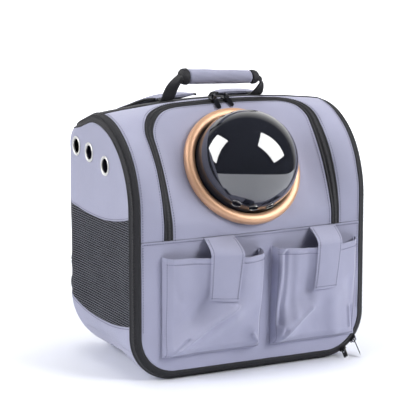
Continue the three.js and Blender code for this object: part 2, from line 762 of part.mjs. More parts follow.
function foldRise(folds, wide, high) {
  let rise = 0;
  for (const fold of folds) {
    const [ex, ey] = [fold.toWide - fold.fromWide, fold.toHigh - fold.fromHigh];
    const along = ((wide - fold.fromWide) * ex + (high - fold.fromHigh) * ey) / (ex ** 2 + ey ** 2);
    const t = Math.min(1, Math.max(0, along));
    const off = Math.hypot(wide - fold.fromWide - t * ex, high - fold.fromHigh - t * ey);
    rise += fold.rise * Math.exp(-((off / fold.width) ** 2));
  }
  return rise;
}
const pocketSeat = pocketWall + seamGap;
// How far the pocket's outer face stands before the front panel.
function pocketDepth(pocket, x, z) {
  const wide = (pocket.side * x - pocket.inner) / (pocket.outer - pocket.inner);
  const high = (z - pocketBottom) / (pocketTop - pocketBottom);
  const folds = pocketFolds[pocket.name];
  const across = pocket.side < 0 ? 1 - wide : wide;
  const full = mix(pocketInnerDepth, pocketOuterDepth, wide);
  const body = full * (0.55 + 0.45 * ramp(0, 0.8, high)) + foldRise(folds, across, high);
  const hold = Math.sqrt(Math.min(1, wide / 0.07)) * Math.sqrt(Math.min(1, (1 - wide) / 0.07))
    * Math.sqrt(Math.min(1, high / 0.09));
  return pocketSeat + Math.max(0, body - pocketSeat) * hold;
}
const pocketShares = [0, 0.012, 0.07, 0.16, 0.27, 0.38, 0.5, 0.62, 0.73, 0.84, 0.93, 0.988, 1];
const pocketHeights = [0, 0.015, 0.09, 0.2, 0.32, 0.44, 0.56, 0.68, 0.8, 0.91, 1];
function pocketPoint(pocket, x, z, proud = 0) {
  const { at } = wrapPoint(x, z);
  return vector(x, at.y - pocketDepth(pocket, x, z) - proud, z);
}
function pocketSheet(pocket) {
  const columns = pocketShares.length - 1;
  const rows = pocketHeights.length - 1;
  return clothSheet(columns, rows, pocketWall, (u, v) => {
    const x = pocket.side * mix(pocket.inner, pocket.outer, pocketShares[Math.round(u * columns)]);
    const z = mix(pocketBottom, pocketTop, pocketHeights[Math.round(v * rows)]);
    return { at: pocketPoint(pocket, x, z), out: vector(0, -1, 0) };
  });
}
for (const pocket of pockets) {
  addPart(`${pocket.name}_pocket`, pocketSheet(pocket), materials.fabric);
}

// A tab hangs from the seam over the pocket's mouth and lies down its front.
const tabRows = [1, 0.97, 0.86, 0.75, 0.62, 0.48, 0.34, 0.18, 0];
function pocketTab({ side, outerTop, innerTop, outerEnd, innerEnd }) {
  const pocket = pockets.find(({ name }) => name === side);
  const top = seamHeight - seamGap;
  const lip = pocketTop;
  const rows = tabRows.length - 1;
  return clothSheet(3, rows, tabWall, (u, v) => {
    const share = tabRows[Math.round(v * rows)];
    const x = mix(mix(outerEnd, innerEnd, u), mix(outerTop, innerTop, u), share);
    const z = top - tabDrop * (1 - share);
    const rest = tabWall + seamGap + 0.6;
    const seam = wrapPoint(x, z).at.y - tabWall - seamGap;
    if (z <= lip) return { at: pocketPoint(pocket, x, z, rest), out: vector(0, -1, 0) };
    const lipY = pocketPoint(pocket, x, lip, rest).y;
    const reach = Math.sin((top - z) / (top - lip) * Math.PI / 2);
    return { at: vector(x, mix(seam, lipY, reach), z), out: vector(0, -1, 0) };
  });
}
for (const tab of tabs) addPart(`${tab.side}_pocket_tab`, pocketTab(tab), materials.fabric);

// Handle: a padded grip between two webbing legs sewn to the top.
const gripHalf = handleLength / 2;
const gripSides = 12;
const gripAt = (share) => ({
  thick: mix(gripEnds[0].thick, gripEnds[1].thick, share),
  height: mix(gripEnds[0].height, gripEnds[1].height, share),
});
function gripSection(share, x, pinch) {
  const { thick, height } = gripAt(share);
  const radius = thick / 2 - pinch;
  return Array.from({ length: gripSides }, (_, i) => {
    const turn = (i / gripSides) * Math.PI * 2;
    return vector(x, handleLean + radius * Math.cos(turn), height + radius * Math.sin(turn));
  });
}
const gripEnd = gripHalf - seamGap;
const gripRound = 3;
addPart('handle_grip', barThrough([
  gripSection(0, -gripEnd, gripRound - 1),
  gripSection(0, -gripEnd + gripRound, 0),
  gripSection(1, gripEnd - gripRound, 0),
  gripSection(1, gripEnd, gripRound - 1),
]), materials.fabric);

function webSection(centre, across, out, width, wall) {
  const corner = (a, b) => centre.clone().addScaledVector(across, a * width / 2)
    .addScaledVector(out, b * wall / 2);
  return [corner(-1, -1), corner(1, -1), corner(1, 1), corner(-1, 1)];
}
// A leg: flat foot on the top behind the seam, then up, over and folded into the grip's end.
function handleLeg({ side, thick, height, legBow }) {
  const footX = side * handleSpan / 2;
  const seat = webWall / 2 + legFoot.lift;
  const footBack = wrapPoint(footX, topSeam + legFoot.back, seat);
  const footFront = wrapPoint(footX, topSeam + legFoot.front, seat);
  const across = vector(0, -1, 0);
  const over = vector(
    footX + side * legBow,
    mix(footFront.at.y, handleLean, 0.45),
    mix(footFront.at.z, height, 0.55),
  );
  const shoulder = vector(side * (gripHalf + 12), handleLean + 1, height - 3);
  const gripEndAt = vector(side * gripHalf, handleLean, height);
  return barThrough([
    webSection(footBack.at, vector(-side, 0, 0), footBack.out, webWidth, webWall),
    webSection(footFront.at, vector(-side, 0, 0), footFront.out, webWidth, webWall),
    webSection(over, vector(-0.7 * side, -0.7, 0), vector(-0.7 * side, 0.7, 0), webWidth, webWall),
    webSection(shoulder, across, vector(-0.6 * side, 0, -0.8), webWidth, thick / 3),
    webSection(gripEndAt, across, vector(0, 0, -1), webWidth, thick * 0.75),
  ]);
}
addPart('handle_leg_left', handleLeg(gripEnds[0]), materials.webbing);
addPart('handle_leg_right', handleLeg(gripEnds[1]), materials.webbing);

// Shoulder straps: stations down the back, as shares of the run from the top to the base. Each
// strap's middle is a share of half the bag's width.
const strapTopStation = stations.top + strapTopSet;
const strapEndStation = backStation(strapEndHeight);
const strapStations = [
  { share: 0.00, middle: 0.271, width: 62, proud: 1.0, thick: 0.5 },
  { share: 0.06, middle: 0.294, width: 68, proud: 1.2, thick: 1.0 },
  { share: 0.16, middle: 0.35, width: 70, proud: 2, thick: 1.0 },
  { share: 0.28, middle: 0.418, width: 70, proud: 4, thick: 1.0 },
  { share: 0.40, middle: 0.48, width: 68, proud: 6, thick: 1.0 },
  { share: 0.55, middle: 0.554, width: 66, proud: 8, thick: 1.0 },
  { share: 0.70, middle: 0.621, width: 62, proud: 9, thick: 1.0 },
  { share: 0.85, middle: 0.7, width: 58, proud: 10, thick: 1.0 },
  { share: 0.96, middle: 0.757, width: 48, proud: 10, thick: 0.9 },
  { share: 1.00, middle: 0.78, width: 38, proud: 11, thick: 0.6 },
];
function strapAt(share) {
  const next = Math.max(1, strapStations.findIndex((row) => row.share >= share - 1e-9));
  const [a, b] = [strapStations[next - 1], strapStations[next]];
  const t = Math.min(1, Math.max(0, (share - a.share) / (b.share - a.share)));
  const blend = (key) => mix(a[key], b[key], t);
  return {
    middle: blend('middle') * halfBody,
    width: blend('width'),
    proud: blend('proud'),
    thick: blend('thick'),
  };
}
const strapShares = [0, 0.06, 0.11, 0.16, 0.21, 0.25, 0.3, 0.36, 0.45, 0.55, 0.7, 0.85, 0.96, 1];
// A section's corners as shares of its half width and half thickness
const strapSection = [
  [-0.96, -1], [0.96, -1], [1, 0], [0.93, 0.9],
  [0.5, 1.15], [-0.5, 1.15], [-0.93, 0.9], [-1, 0],
];
function shoulderStrap(side) {
  const sections = strapShares.map((share) => {
    const { middle, width, proud, thick } = strapAt(share);
    const s = mix(strapTopStation, strapEndStation, share);
    const half = strapThickness * thick / 2;
    const place = (a, b) => wrapPoint(side * middle + a * width / 2, s, proud + half + b * half).at;
    return strapSection.map(([a, b]) => place(a, b));
  });
  return barThrough(sections);
}
// The webbing leaves the strap's lower end, bows out and is sewn in at the base.
const strapWebStations = [
  { drop: 0, proud: 12, outward: 4 },
  { drop: 0.18, proud: 18, outward: 6 },
  { drop: 0.42, proud: 22, outward: 6 },
  { drop: 0.66, proud: 17, outward: 3 },
  { drop: 0.86, proud: 7, outward: -8 },
  { drop: 1, proud: 1, outward: -20 },
];
const strapWebFoot = 14; // from the rear base edge up to where the webbing is sewn in
function strapWebbing(side) {
  const low = rearEdge + strapWebFoot;
  const top = strapEndHeight - seamGap;
  const { middle } = strapAt(1);
  const sections = strapWebStations.map(({ drop, proud, outward }) => {
    const z = mix(top, low, drop);
    const x = side * (middle + outward);
    const { at } = wrapPoint(x, backStation(z), proud + strapWebWall / 2 + seamGap);
    return webSection(at, vector(1, 0, 0), vector(0, 1, 0), strapWebWidth, strapWebWall);
  });
  return barThrough(sections);
}
for (const [name, side] of [['left', -1], ['right', 1]]) {
  addPart(`shoulder_strap_${name}`, shoulderStrap(side), materials.fabric);
  addPart(`strap_webbing_${name}`, strapWebbing(side), materials.webbing);
}

// Zip sliders. Locally X is the hinge, Y the way the puller points, Z out of the zip.
// A high bridge and a short nose let the puller hang steeply.
function sliderGeometry(bridgeRise, nose) {
  const body = new THREE.BoxGeometry(sliderWidth, sliderLength, sliderBody);
  body.translate(0, nose - sliderLength / 2, sliderBody / 2);
  const arch = new THREE.Shape();
  const half = bridgeLength / 2;
  const top = sliderBody + bridgeRise + bridgeBar;
  arch.moveTo(-half, sliderBody - 0.5);
  arch.lineTo(half, sliderBody - 0.5);
  arch.lineTo(half, top - bridgeBar);
  arch.lineTo(half - bridgeBar, top);
  arch.lineTo(-half + bridgeBar, top);
  arch.lineTo(-half, top - bridgeBar);
  const tunnel = new THREE.Path();
  tunnel.moveTo(-half + bridgeBar, sliderBody);
  tunnel.lineTo(-half + bridgeBar, sliderBody + bridgeRise);
  tunnel.lineTo(half - bridgeBar, sliderBody + bridgeRise);
  tunnel.lineTo(half - bridgeBar, sliderBody);
  arch.holes.push(tunnel);
  const bridge = new THREE.ExtrudeGeometry(arch, { depth: bridgeWidth, bevelEnabled: false });
  // The arch is drawn in Y and Z, so its own axes turn round to them.
  const turn = new THREE.Matrix4().makeBasis(vector(0, 1, 0), vector(0, 0, 1), vector(1, 0, 0));
  bridge.applyMatrix4(turn);
  bridge.translate(-bridgeWidth / 2, 0, 0);
  return fromSolid(toSolid(body).add(toSolid(bridge)));
}
function pullerGeometry(length) {
  const half = pullerWidth / 2;
  const bar = pullerBar / 2;
  const plate = new THREE.Shape();
  plate.moveTo(-half, -bar);
  plate.lineTo(half, -bar);
  plate.lineTo(half, length - half);
  plate.absarc(0, length - half, half, 0, Math.PI, false);
  plate.closePath();
  const slot = new THREE.Path();
  slot.moveTo(-half + 1.6, bar);
  slot.lineTo(-half + 1.6, bar + pullerWindow);
  slot.lineTo(half - 1.6, bar + pullerWindow);
  slot.lineTo(half - 1.6, bar);
  plate.holes.push(slot);
  const geometry = new THREE.ExtrudeGeometry(plate, {
    depth: pullerBar, bevelEnabled: false, curveSegments: 4,
  });
  geometry.translate(0, 0, -pullerBar / 2);
  return fromSolid(toSolid(geometry));
}
// A slider sits on the zip at a point. Its puller points along the zip's face the way it
// hangs, turned out of that face by its lift in degrees.
function zipSlider({ name, hang, lift, length, rise, nose }, { at, out }, proud) {
  const group = new THREE.Group();
  const up = out.clone().normalize();
  const forward = hang.clone().addScaledVector(up, -hang.dot(up)).normalize();
  const hinge = forward.clone().cross(up).normalize();
  group.quaternion.setFromRotationMatrix(new THREE.Matrix4().makeBasis(hinge, forward, up));
  group.position.copy(at).addScaledVector(up, proud);
  bag.add(group);
  addPart(`${name}_slider`, sliderGeometry(rise, nose), materials.steel, group);
  const puller = addPart(`${name}_puller`, pullerGeometry(length), materials.steel, group);
  puller.position.z = sliderBody + rise / 2;
  puller.rotation.x = THREE.MathUtils.degToRad(lift);
}
const zipMiddle = flapTop + zipWidth / 2;
const topFit = { rise: 5.4, nose: 3.6, lift: -26 };
const topSliders = [
  { name: 'top_left', x: -10, length: 23, hang: vector(0, -1, 0), ...topFit },
  { name: 'top_right', x: 9, length: 20, hang: vector(0.11, -0.99, 0), ...topFit },
];
for (const slider of topSliders) {
  zipSlider(slider, wrapPoint(slider.x, zipMiddle), zipWall - cloth + seamGap);
}
const cornerFit = { rise: 2.2, nose: sliderLength / 2 };
const cornerSliders = [
  { name: 'corner_upper', turn: 0.84, length: 24, lift: 58.3, hang: vector(0.08, -0.6, -0.75) },
  { name: 'corner_lower', turn: 0.5, length: 19, lift: 44.1, hang: vector(-0.3, -0.86, -0.24) },
];
for (const slider of cornerSliders) {
  const seat = onEdge(cornerFrame(1, slider.turn, true), Math.PI / 4);
  zipSlider({ ...slider, ...cornerFit }, seat, seamGap);
}

export default bag;
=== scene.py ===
import math
import bmesh
import bpy
import numpy as np
from mathutils import Matrix, Vector


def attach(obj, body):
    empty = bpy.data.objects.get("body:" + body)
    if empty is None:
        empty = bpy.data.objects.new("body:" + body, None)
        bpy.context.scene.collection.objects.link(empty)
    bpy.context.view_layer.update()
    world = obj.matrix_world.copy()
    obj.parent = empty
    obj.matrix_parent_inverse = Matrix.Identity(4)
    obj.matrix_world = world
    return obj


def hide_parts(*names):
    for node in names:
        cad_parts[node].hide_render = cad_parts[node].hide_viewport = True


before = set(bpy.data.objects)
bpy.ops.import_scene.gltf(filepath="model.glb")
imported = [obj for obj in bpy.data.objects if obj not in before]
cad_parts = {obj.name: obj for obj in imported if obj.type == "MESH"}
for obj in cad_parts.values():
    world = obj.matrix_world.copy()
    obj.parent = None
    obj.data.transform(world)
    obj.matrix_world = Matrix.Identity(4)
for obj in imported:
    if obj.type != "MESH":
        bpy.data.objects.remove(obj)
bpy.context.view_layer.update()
mm = 0.001
scene = bpy.context.scene
scene.view_settings.view_transform = "Standard"

# The camera stands where the photograph was taken from.
camera = bpy.data.objects.new("camera", bpy.data.cameras.new("camera"))
camera.location = (-1.26375, -2.45562, 0.74951)
camera.rotation_euler = (math.radians(78.837), 0, math.radians(-26.93))
camera.data.lens = 176.66
camera.data.sensor_width = 36
camera.data.clip_end = 40
scene.collection.objects.link(camera)
scene.camera = camera


class Wire:  # one value in a material's tree, so shader maths reads as Python
    def __init__(self, recipe, socket):
        self.recipe = recipe
        self.socket = socket

    def maths(self, operation, other=None):
        node = self.recipe.tree.nodes.new("ShaderNodeMath")
        node.operation = operation
        for slot, value in zip(node.inputs, [self] if other is None else [self, other]):
            self.recipe.feed(slot, value)
        return Wire(self.recipe, node.outputs[0])

    def clamped(self):
        return self.recipe.add("Clamp", Value=self)

    def __add__(self, other):
        return self.maths("ADD", other)

    def __sub__(self, other):
        return self.maths("SUBTRACT", other)

    def __mul__(self, other):
        return self.maths("MULTIPLY", other)

    def __truediv__(self, other):
        return self.maths("DIVIDE", other)

    __radd__ = __add__


class Recipe:
    def __init__(self, name, tree=None):
        self.tree = tree
        if tree is None:
            self.material = bpy.data.materials.new(name)
            self.material.use_nodes = True
            self.tree = self.material.node_tree
            self.tree.nodes.clear()

    def feed(self, slot, value):
        if isinstance(value, Wire):
            self.tree.links.new(value.socket, slot)
        else:
            slot.default_value = value

    def add(self, kind, output=0, **inputs):
        node = self.tree.nodes.new("ShaderNode" + kind)
        for key, value in inputs.items():
            self.feed(node.inputs[key], value)
        return Wire(self, node.outputs[output])

    def place(self, source="UV"):
        spot = self.add("TexCoord", output={"Generated": 0, "UV": 2, "Object": 3}[source])
        parts = self.tree.nodes.new("ShaderNodeSeparateXYZ")
        self.feed(parts.inputs[0], spot)
        return spot, [Wire(self, socket) for socket in parts.outputs]

    def noise(self, spot, scale, detail=2.0, roughness=0.5):
        return self.add("TexNoise", Vector=spot, Scale=scale, Detail=detail, Roughness=roughness)

    def blend(self, factor, first, second):
        node = self.tree.nodes.new("ShaderNodeMix")
        node.data_type = "RGBA"
        self.feed(node.inputs[0], factor)
        self.feed(node.inputs[6], first)
        self.feed(node.inputs[7], second)
        return Wire(self, node.outputs[2])

    def bump(self, height, distance, strength=1.0, under=None):
        normal = {"Normal": under} if under else {}
        return self.add("Bump", Height=height, Distance=distance, Strength=strength, **normal)

    def surface(self, **inputs):
        shader = self.tree.nodes.new("ShaderNodeBsdfPrincipled")
        for key, value in inputs.items():
            self.feed(shader.inputs[key.replace("_", " ")], value)
        output = self.tree.nodes.new("ShaderNodeOutputMaterial")
        self.tree.links.new(shader.outputs[0], output.inputs[0])
        return self.material


def tone(red, green, blue):
    return (red, green, blue, 1)


def darker(shade, share):
    return (*(share * value for value in shade[:3]), 1)


def wovenCloth(name, light, dark, thread=0.0009, sheen=0.25, relief=0.00012):
    recipe = Recipe(name)
    spot, (across, along, _) = recipe.place()
    turn = 2 * math.pi / thread
    weave = (across * turn).maths("SINE") * (along * turn).maths("SINE")
    slub = recipe.noise(spot, 900.0, 2.0)
    soft = recipe.noise(spot, 14.0, 3.0, 0.55)
    shade = (weave * 0.10 + (slub - 0.5) * 0.55 + (soft - 0.5) * 0.5 + 0.5).clamped()
    colour = recipe.blend(shade, dark, light)
    weaveBump = recipe.bump(weave * 0.5 + slub * 0.6, relief, 0.7)
    creased = recipe.bump(recipe.noise(spot, 32.0, 4.0, 0.6), 0.0012, 0.5, weaveBump)
    return recipe.surface(
        Base_Color=colour, Roughness=slub * 0.12 + 0.68, Normal=creased,
        Sheen_Weight=sheen, Sheen_Roughness=0.45, Specular_IOR_Level=0.25,
    )


def ribbedTape(name, light, dark, rib=0.0016, relief=0.00025, roughness=0.62):
    recipe = Recipe(name)
    spot, (along, across, _) = recipe.place()
    ribs = (along * (2 * math.pi / rib) + (across * (math.pi / rib)).maths("SINE") * 1.6).maths("SINE")
    fuzz = recipe.noise(spot, 1100.0, 2.0)
    shade = (ribs * 0.16 + (fuzz - 0.5) * 0.7 + 0.5).clamped()
    return recipe.surface(
        Base_Color=recipe.blend(shade, dark, light), Roughness=fuzz * 0.15 + roughness - 0.07,
        Normal=recipe.bump(ribs * 0.5 + fuzz * 0.5, relief, 0.8),
        Sheen_Weight=0.05, Sheen_Roughness=0.4, Specular_IOR_Level=0.3,
    )


# Threads over open cells. The cells take the second colour, near black, and stay mostly opaque: painted
# shade of the bag's dark inside seen through them.
def openNet(name, thread, gap):
    recipe = Recipe(name)
    spot, (across, along, _) = recipe.place()
    turn = 2 * math.pi
    cells = {"wide": 0.0066, "high": 0.0033}
    lean = (across * (turn / cells["wide"])).maths("COSINE") * 0.6
    rows = (along * (turn / cells["high"]) + lean).maths("SINE")
    legs = (across * (turn / cells["wide"])).maths("SINE")
    legs = legs * (along * (turn / cells["high"] / 2)).maths("SINE")
    net = (rows * 0.85 + legs * 0.25 - 0.05).clamped()
    fuzz = recipe.noise(spot, 700.0, 2.0)
    stretch = recipe.noise(spot, 18.0, 2.0)
    shade = (net * (0.65 + stretch * 0.5) + (fuzz - 0.5) * 0.25).clamped()
    return recipe.surface(
        # The gap colour and an alpha of at least 0.7 paint the shade of the inside into the cells.
        Base_Color=recipe.blend(shade, gap, thread), Roughness=0.62 + fuzz * 0.2,
        Alpha=(net * 0.6 + 0.7).clamped(),
        Normal=recipe.bump(net, 0.0004, 0.8), Specular_IOR_Level=0.22,
    )


def copperPaint(name):
    recipe = Recipe(name)
    spot, _ = recipe.place("Object")
    flake = recipe.noise(spot, 2600.0, 1.0)
    scuff = recipe.noise(spot, 60.0, 5.0, 0.65)
    colour = recipe.blend(flake * 0.4 + scuff * 0.1, tone(0.62, 0.36, 0.22), tone(0.72, 0.45, 0.29))
    return recipe.surface(
        Base_Color=colour, Metallic=0.4, Roughness=scuff * 0.05 + 0.42,
        Normal=recipe.bump(scuff, 0.00002, 0.3), Coat_Weight=0.12, Coat_Roughness=0.2,
    )


def smokedAcrylic(name, plane, low, high):  # its glossy coat fades out down the straight part
    recipe = Recipe(name)
    spot, places = recipe.place("Object")
    wipe = recipe.noise(spot, 26.0, 3.0)
    height = places[0] * plane[0] + places[1] * plane[1] + places[2] * plane[2] - plane[3]
    coat = ((height - low) / (high - low)).clamped()
    return recipe.surface(
        Base_Color=recipe.blend(wipe, tone(0.010, 0.011, 0.016), tone(0.018, 0.020, 0.028)),
        Roughness=wipe * 0.02 + 0.012, Alpha=0.88, IOR=1.42, Coat_Weight=coat, Coat_Roughness=0.01,
        Coat_IOR=2.1,
    )


def polishedMetal(name, light, roughness, metallic=1.0):
    recipe = Recipe(name)
    spot, _ = recipe.place("Object")
    scratch = recipe.noise(spot, 420.0, 3.0, 0.6)
    return recipe.surface(
        Base_Color=recipe.blend(scratch, darker(light, 0.72), light), Metallic=metallic,
        Roughness=scratch * 0.12 + roughness, Normal=recipe.bump(scratch, 0.00003, 0.3),
    )


def sewingThread(name, colour):
    recipe = Recipe(name)
    spot, _ = recipe.place("Object")
    twist = recipe.noise(spot, 2400.0, 1.0)
    shade = recipe.blend(twist, darker(colour, 0.6), colour)
    return recipe.surface(Base_Color=shade, Roughness=0.6 + twist * 0.1)


lilac = wovenCloth("lilacCloth", tone(0.37, 0.375, 0.50), tone(0.285, 0.29, 0.39))
padding = wovenCloth("lilacPadding", tone(0.34, 0.345, 0.46), tone(0.255, 0.26, 0.35), 0.0011)
charcoal = wovenCloth("charcoalCloth", tone(0.030, 0.030, 0.034), tone(0.012, 0.012, 0.014), 0.001, 0.08)
tape = ribbedTape("blackTape", tone(0.030, 0.030, 0.034), tone(0.008, 0.008, 0.010))
blackWebbing = ribbedTape(
    "blackWebbing", tone(0.034, 0.034, 0.038), tone(0.008, 0.008, 0.010), 0.0024, 0.0005,
)
# The second colour is painted shade: the dark inside of the bag seen through the net's cells.
net = openNet("sideNet", tone(0.165, 0.172, 0.21), tone(0.006, 0.006, 0.008))
copper = copperPaint("copperPaint")
chrome = polishedMetal("chrome", tone(0.85, 0.85, 0.83), 0.10)
nickel = polishedMetal("nickel", tone(0.74, 0.74, 0.71), 0.34, 0.3)
gunmetal = polishedMetal("gunmetal", tone(0.07, 0.07, 0.08), 0.25)
coilMaterial = polishedMetal("zipCoil", tone(0.018, 0.018, 0.022), 0.38, 0.0)
thread = sewingThread("greyThread", tone(0.10, 0.10, 0.15))
print("materials made")

# The bag's form, from the same named sizes as its solids, in millimetres.
bag = {
    "width": 354, "height": 345, "depth": 230, "frontSet": 100, "shoulderRadius": 120,
    "ridgeRadius": 80, "rearFall": math.radians(18.8), "rearTopRadius": 40, "baseRadius": 62,
    "rearBaseRadius": 84, "frontEdge": 12, "rearEdge": 34, "topCrown": 12, "frontCrown": 7,
    "rearCrown": 4, "cloth": 2, "seamGap": 0.35, "seamHeight": 190,
}
gap = bag["seamGap"]
frontY = -bag["frontSet"]
backY = bag["depth"] - bag["frontSet"]
halfBody = bag["width"] / 2
shoulderY = frontY + bag["shoulderRadius"]
shoulderZ = bag["height"] - bag["shoulderRadius"]
fall = bag["rearFall"]
ridgeEndY = shoulderY + bag["ridgeRadius"] * math.sin(fall)
ridgeEndZ = bag["height"] - bag["ridgeRadius"] * (1 - math.cos(fall))
rearCentreY = backY - bag["rearTopRadius"]
slopeRun = (rearCentreY + bag["rearTopRadius"] * math.sin(fall) - ridgeEndY) / math.cos(fall)
rearCentreZ = ridgeEndZ - slopeRun * math.sin(fall) - bag["rearTopRadius"] * math.cos(fall)
shoulderStation = shoulderZ
topStation = shoulderStation + bag["shoulderRadius"] * math.pi / 2
slopeStation = topStation + bag["ridgeRadius"] * fall
rearTurnStation = slopeStation + slopeRun
backStart = rearTurnStation + bag["rearTopRadius"] * (math.pi / 2 - fall)
endStation = backStart + rearCentreZ


def mix(a, b, t):
    return a + (b - a) * t


def ease(a, b, x):
    t = np.clip((np.asarray(x, float) - a) / (b - a), 0, 1)
    return t * t * (3 - 2 * t)


def hump(x, middle, width):
    return np.exp(-(((np.asarray(x, float) - middle) / width) ** 2))


def softNoise(x, y, size, seed):
    rng = np.random.default_rng(seed)
    total = 0
    for _ in range(7):
        turn, pitch, phase = rng.uniform(0, 2 * math.pi), rng.uniform(0.6, 1.8), rng.uniform(0, 6.3)
        along = x * math.cos(turn) + y * math.sin(turn)
        total = total + np.sin(2 * math.pi * pitch / size * along + phase)
    return total / 5


def stack(*parts):
    return np.stack(np.broadcast_arrays(*[np.asarray(part, float) for part in parts]), axis=-1)


def unit(vectors):
    return vectors / np.linalg.norm(vectors, axis=-1, keepdims=True)


def fullTurn(count):
    return np.linspace(0, 2 * math.pi, count, endpoint=False)


def lengthAlong(path):
    return np.concatenate([[0], np.cumsum(np.linalg.norm(np.diff(path, axis=0), axis=1))])


def outline(s):
    s = np.asarray(s, float)
    sigma = (s - shoulderStation) / bag["shoulderRadius"]
    ridge = (s - topStation) / bag["ridgeRadius"]
    rear = fall + (s - rearTurnStation) / bag["rearTopRadius"]
    run = s - slopeStation
    pick = [s <= shoulderStation, s <= topStation, s <= slopeStation, s <= rearTurnStation, s <= backStart]
    flat = np.zeros_like(s)
    y = np.select(pick, [
        flat + frontY, shoulderY - bag["shoulderRadius"] * np.cos(sigma),
        shoulderY + bag["ridgeRadius"] * np.sin(ridge), ridgeEndY + run * math.cos(fall),
        rearCentreY + bag["rearTopRadius"] * np.sin(rear),
    ], flat + backY)
    z = np.select(pick, [
        s, shoulderZ + bag["shoulderRadius"] * np.sin(sigma),
        bag["height"] - bag["ridgeRadius"] * (1 - np.cos(ridge)), ridgeEndZ - run * math.sin(fall),
        rearCentreZ + bag["rearTopRadius"] * np.cos(rear),
    ], endStation - s)
    ny = np.select(pick, [
        flat - 1, -np.cos(sigma), np.sin(ridge), flat + math.sin(fall), np.sin(rear),
    ], flat + 1)
    nz = np.select(pick, [flat, np.sin(sigma), np.cos(ridge), flat + math.cos(fall), np.cos(rear)], flat)
    return y, z, ny, nz


def edgeAt(s):
    return mix(bag["frontEdge"], bag["rearEdge"], ease(slopeStation + slopeRun / 3, backStart, s))


def halfWidthAt(s):
    return halfBody - edgeAt(s)


def baseRadiusAt(y):
    return mix(bag["baseRadius"], bag["rearBaseRadius"], ease(frontY + bag["frontEdge"], shoulderY, y))


def crownAt(s):
    front = mix(0, bag["frontCrown"], ease(0, bag["seamHeight"], s))
    rise = mix(front, bag["topCrown"], ease(shoulderStation, topStation, s))
    return mix(rise, bag["rearCrown"], ease(slopeStation, backStart, s))


window = {
    "tilt": math.radians(32), "reach": 98, "drop": 5.5, "ringOuter": 84, "ringWidth": 14,
    "ringThickness": 12, "softness": 4, "halfWidth": 119.5, "cornerLeft": 52, "cornerRight": 36,
    "zipWidth": 13, "topSet": 21.5, "topSeamSet": 6, "raysDrop": 6.6,
}
chordOut = np.array([0, -math.cos(window["tilt"]), math.sin(window["tilt"])])
chordUp = np.array([0, math.sin(window["tilt"]), math.cos(window["tilt"])])
shoulderCentre = np.array([0, shoulderY, shoulderZ])


def onWrap(x, s, proud=0):
    y, z, ny, nz = outline(s)
    x = np.asarray(x, float) + np.zeros_like(y)
    out = stack(0 * y, ny, nz)
    across = np.minimum(1, np.abs(x) / halfWidthAt(s))
    at = stack(x, y, z) + out * (crownAt(s) * (1 - across ** 2))[..., None]
    over = (at - shoulderCentre) @ chordOut - window["reach"]
    facing = out @ chordOut
    pressed = (over + np.hypot(over, window["softness"])) / 2
    share = 1 - ease(window["ringOuter"] + 6, window["halfWidth"] + 40, np.abs(x))
    push = np.where(facing > 0.3, pressed * share * ease(0.3, 0.6, facing) / np.maximum(facing, 0.3), 0)
    at = at - out * push[..., None] + out * (np.asarray(proud, float) + 0 * y)[..., None]
    return at, out


def edgeFrames(side, s):
    y, z, ny, nz = outline(s)
    radius = edgeAt(s)
    centre = stack(side * (halfBody - radius), y - ny * radius, z - nz * radius)
    return centre, radius, stack(0 * y, ny, nz), stack(side + 0 * y, 0, 0)


def cornerFrames(side, turn, front, x=None):
    turn = np.asarray(turn, float)
    radius = bag["frontEdge"] if front else bag["rearEdge"]
    around = bag["baseRadius"] if front else bag["rearBaseRadius"]
    inner = around - radius
    flat = halfBody - around if x is None else x
    centre = stack(
        side * (flat + inner * np.sin(turn)), frontY + radius if front else backY - radius,
        around - inner * np.cos(turn),
    )
    face = stack(0 * turn, -1 if front else 1, 0)
    flank = stack(side * np.sin(turn), 0, -np.cos(turn))
    return centre, radius + 0 * turn, face, flank


def joinFrames(*runs):
    return tuple(np.concatenate([run[i] for run in runs]) for i in range(4))


bandRun = bag["frontEdge"] * math.pi / 2
outlineSamples = np.linspace(0, endStation, 1400)


def onSide(side, y, z, proud=0):
    y, z = np.asarray(y, float), np.asarray(z, float)
    sy, sz, sny, snz = outline(outlineSamples)
    flatY, flatZ = y.ravel(), z.ravel()
    nearest = np.empty(flatY.size, int)
    for first in range(0, flatY.size, 4000):
        part = slice(first, first + 4000)
        far = (flatY[part, None] - sy) ** 2 + (flatZ[part, None] - sz) ** 2
        nearest[part] = far.argmin(axis=1)
    nearest = nearest.reshape(y.shape)
    ny, nz = sny[nearest], snz[nearest]
    inside = np.abs((y - sy[nearest]) * ny + (z - sz[nearest]) * nz)
    radius = edgeAt(outlineSamples[nearest])
    bend = np.clip((radius - inside) / radius, 0, 1)
    level = np.sqrt(1 - np.minimum(bend, 0.9999) ** 2)
    around = baseRadiusAt(y)
    turn = np.where(z < around, np.arcsin(np.clip((around - z) / around, 0, 1)), 0)
    flank = stack(side * np.cos(turn), 0, -np.sin(turn))
    at = stack(side * (halfBody - around * (1 - np.cos(turn))), y, z)
    at = at - flank * (radius * (1 - level))[..., None]
    out = flank * level[..., None] + stack(0 * y, ny, nz) * bend[..., None]
    return at + out * (np.asarray(proud, float) + 0 * y)[..., None], out


def finishPiece(piece, body="bag", instead=(), slot="cloth", sharp=42):
    piece.data.polygons.foreach_set("use_smooth", [True] * len(piece.data.polygons))
    piece.data.set_sharp_from_angle(angle=math.radians(sharp))
    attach(piece, body)
    if instead:
        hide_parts(*instead)
    return piece


def cutHoles(piece, cutters):
    for cutter in cutters:
        modifier = piece.modifiers.new("hole", "BOOLEAN")
        modifier.solver = "EXACT"
        modifier.object = cutter
    made = bpy.data.meshes.new_from_object(piece.evaluated_get(bpy.context.evaluated_depsgraph_get()))
    piece.modifiers.clear()
    piece.data = made
    for cutter in cutters:
        bpy.data.objects.remove(cutter)


def weld(mesh):
    shape = bmesh.new()
    shape.from_mesh(mesh)
    bmesh.ops.remove_doubles(shape, verts=shape.verts, dist=1e-6)
    shape.to_mesh(mesh)
    shape.free()


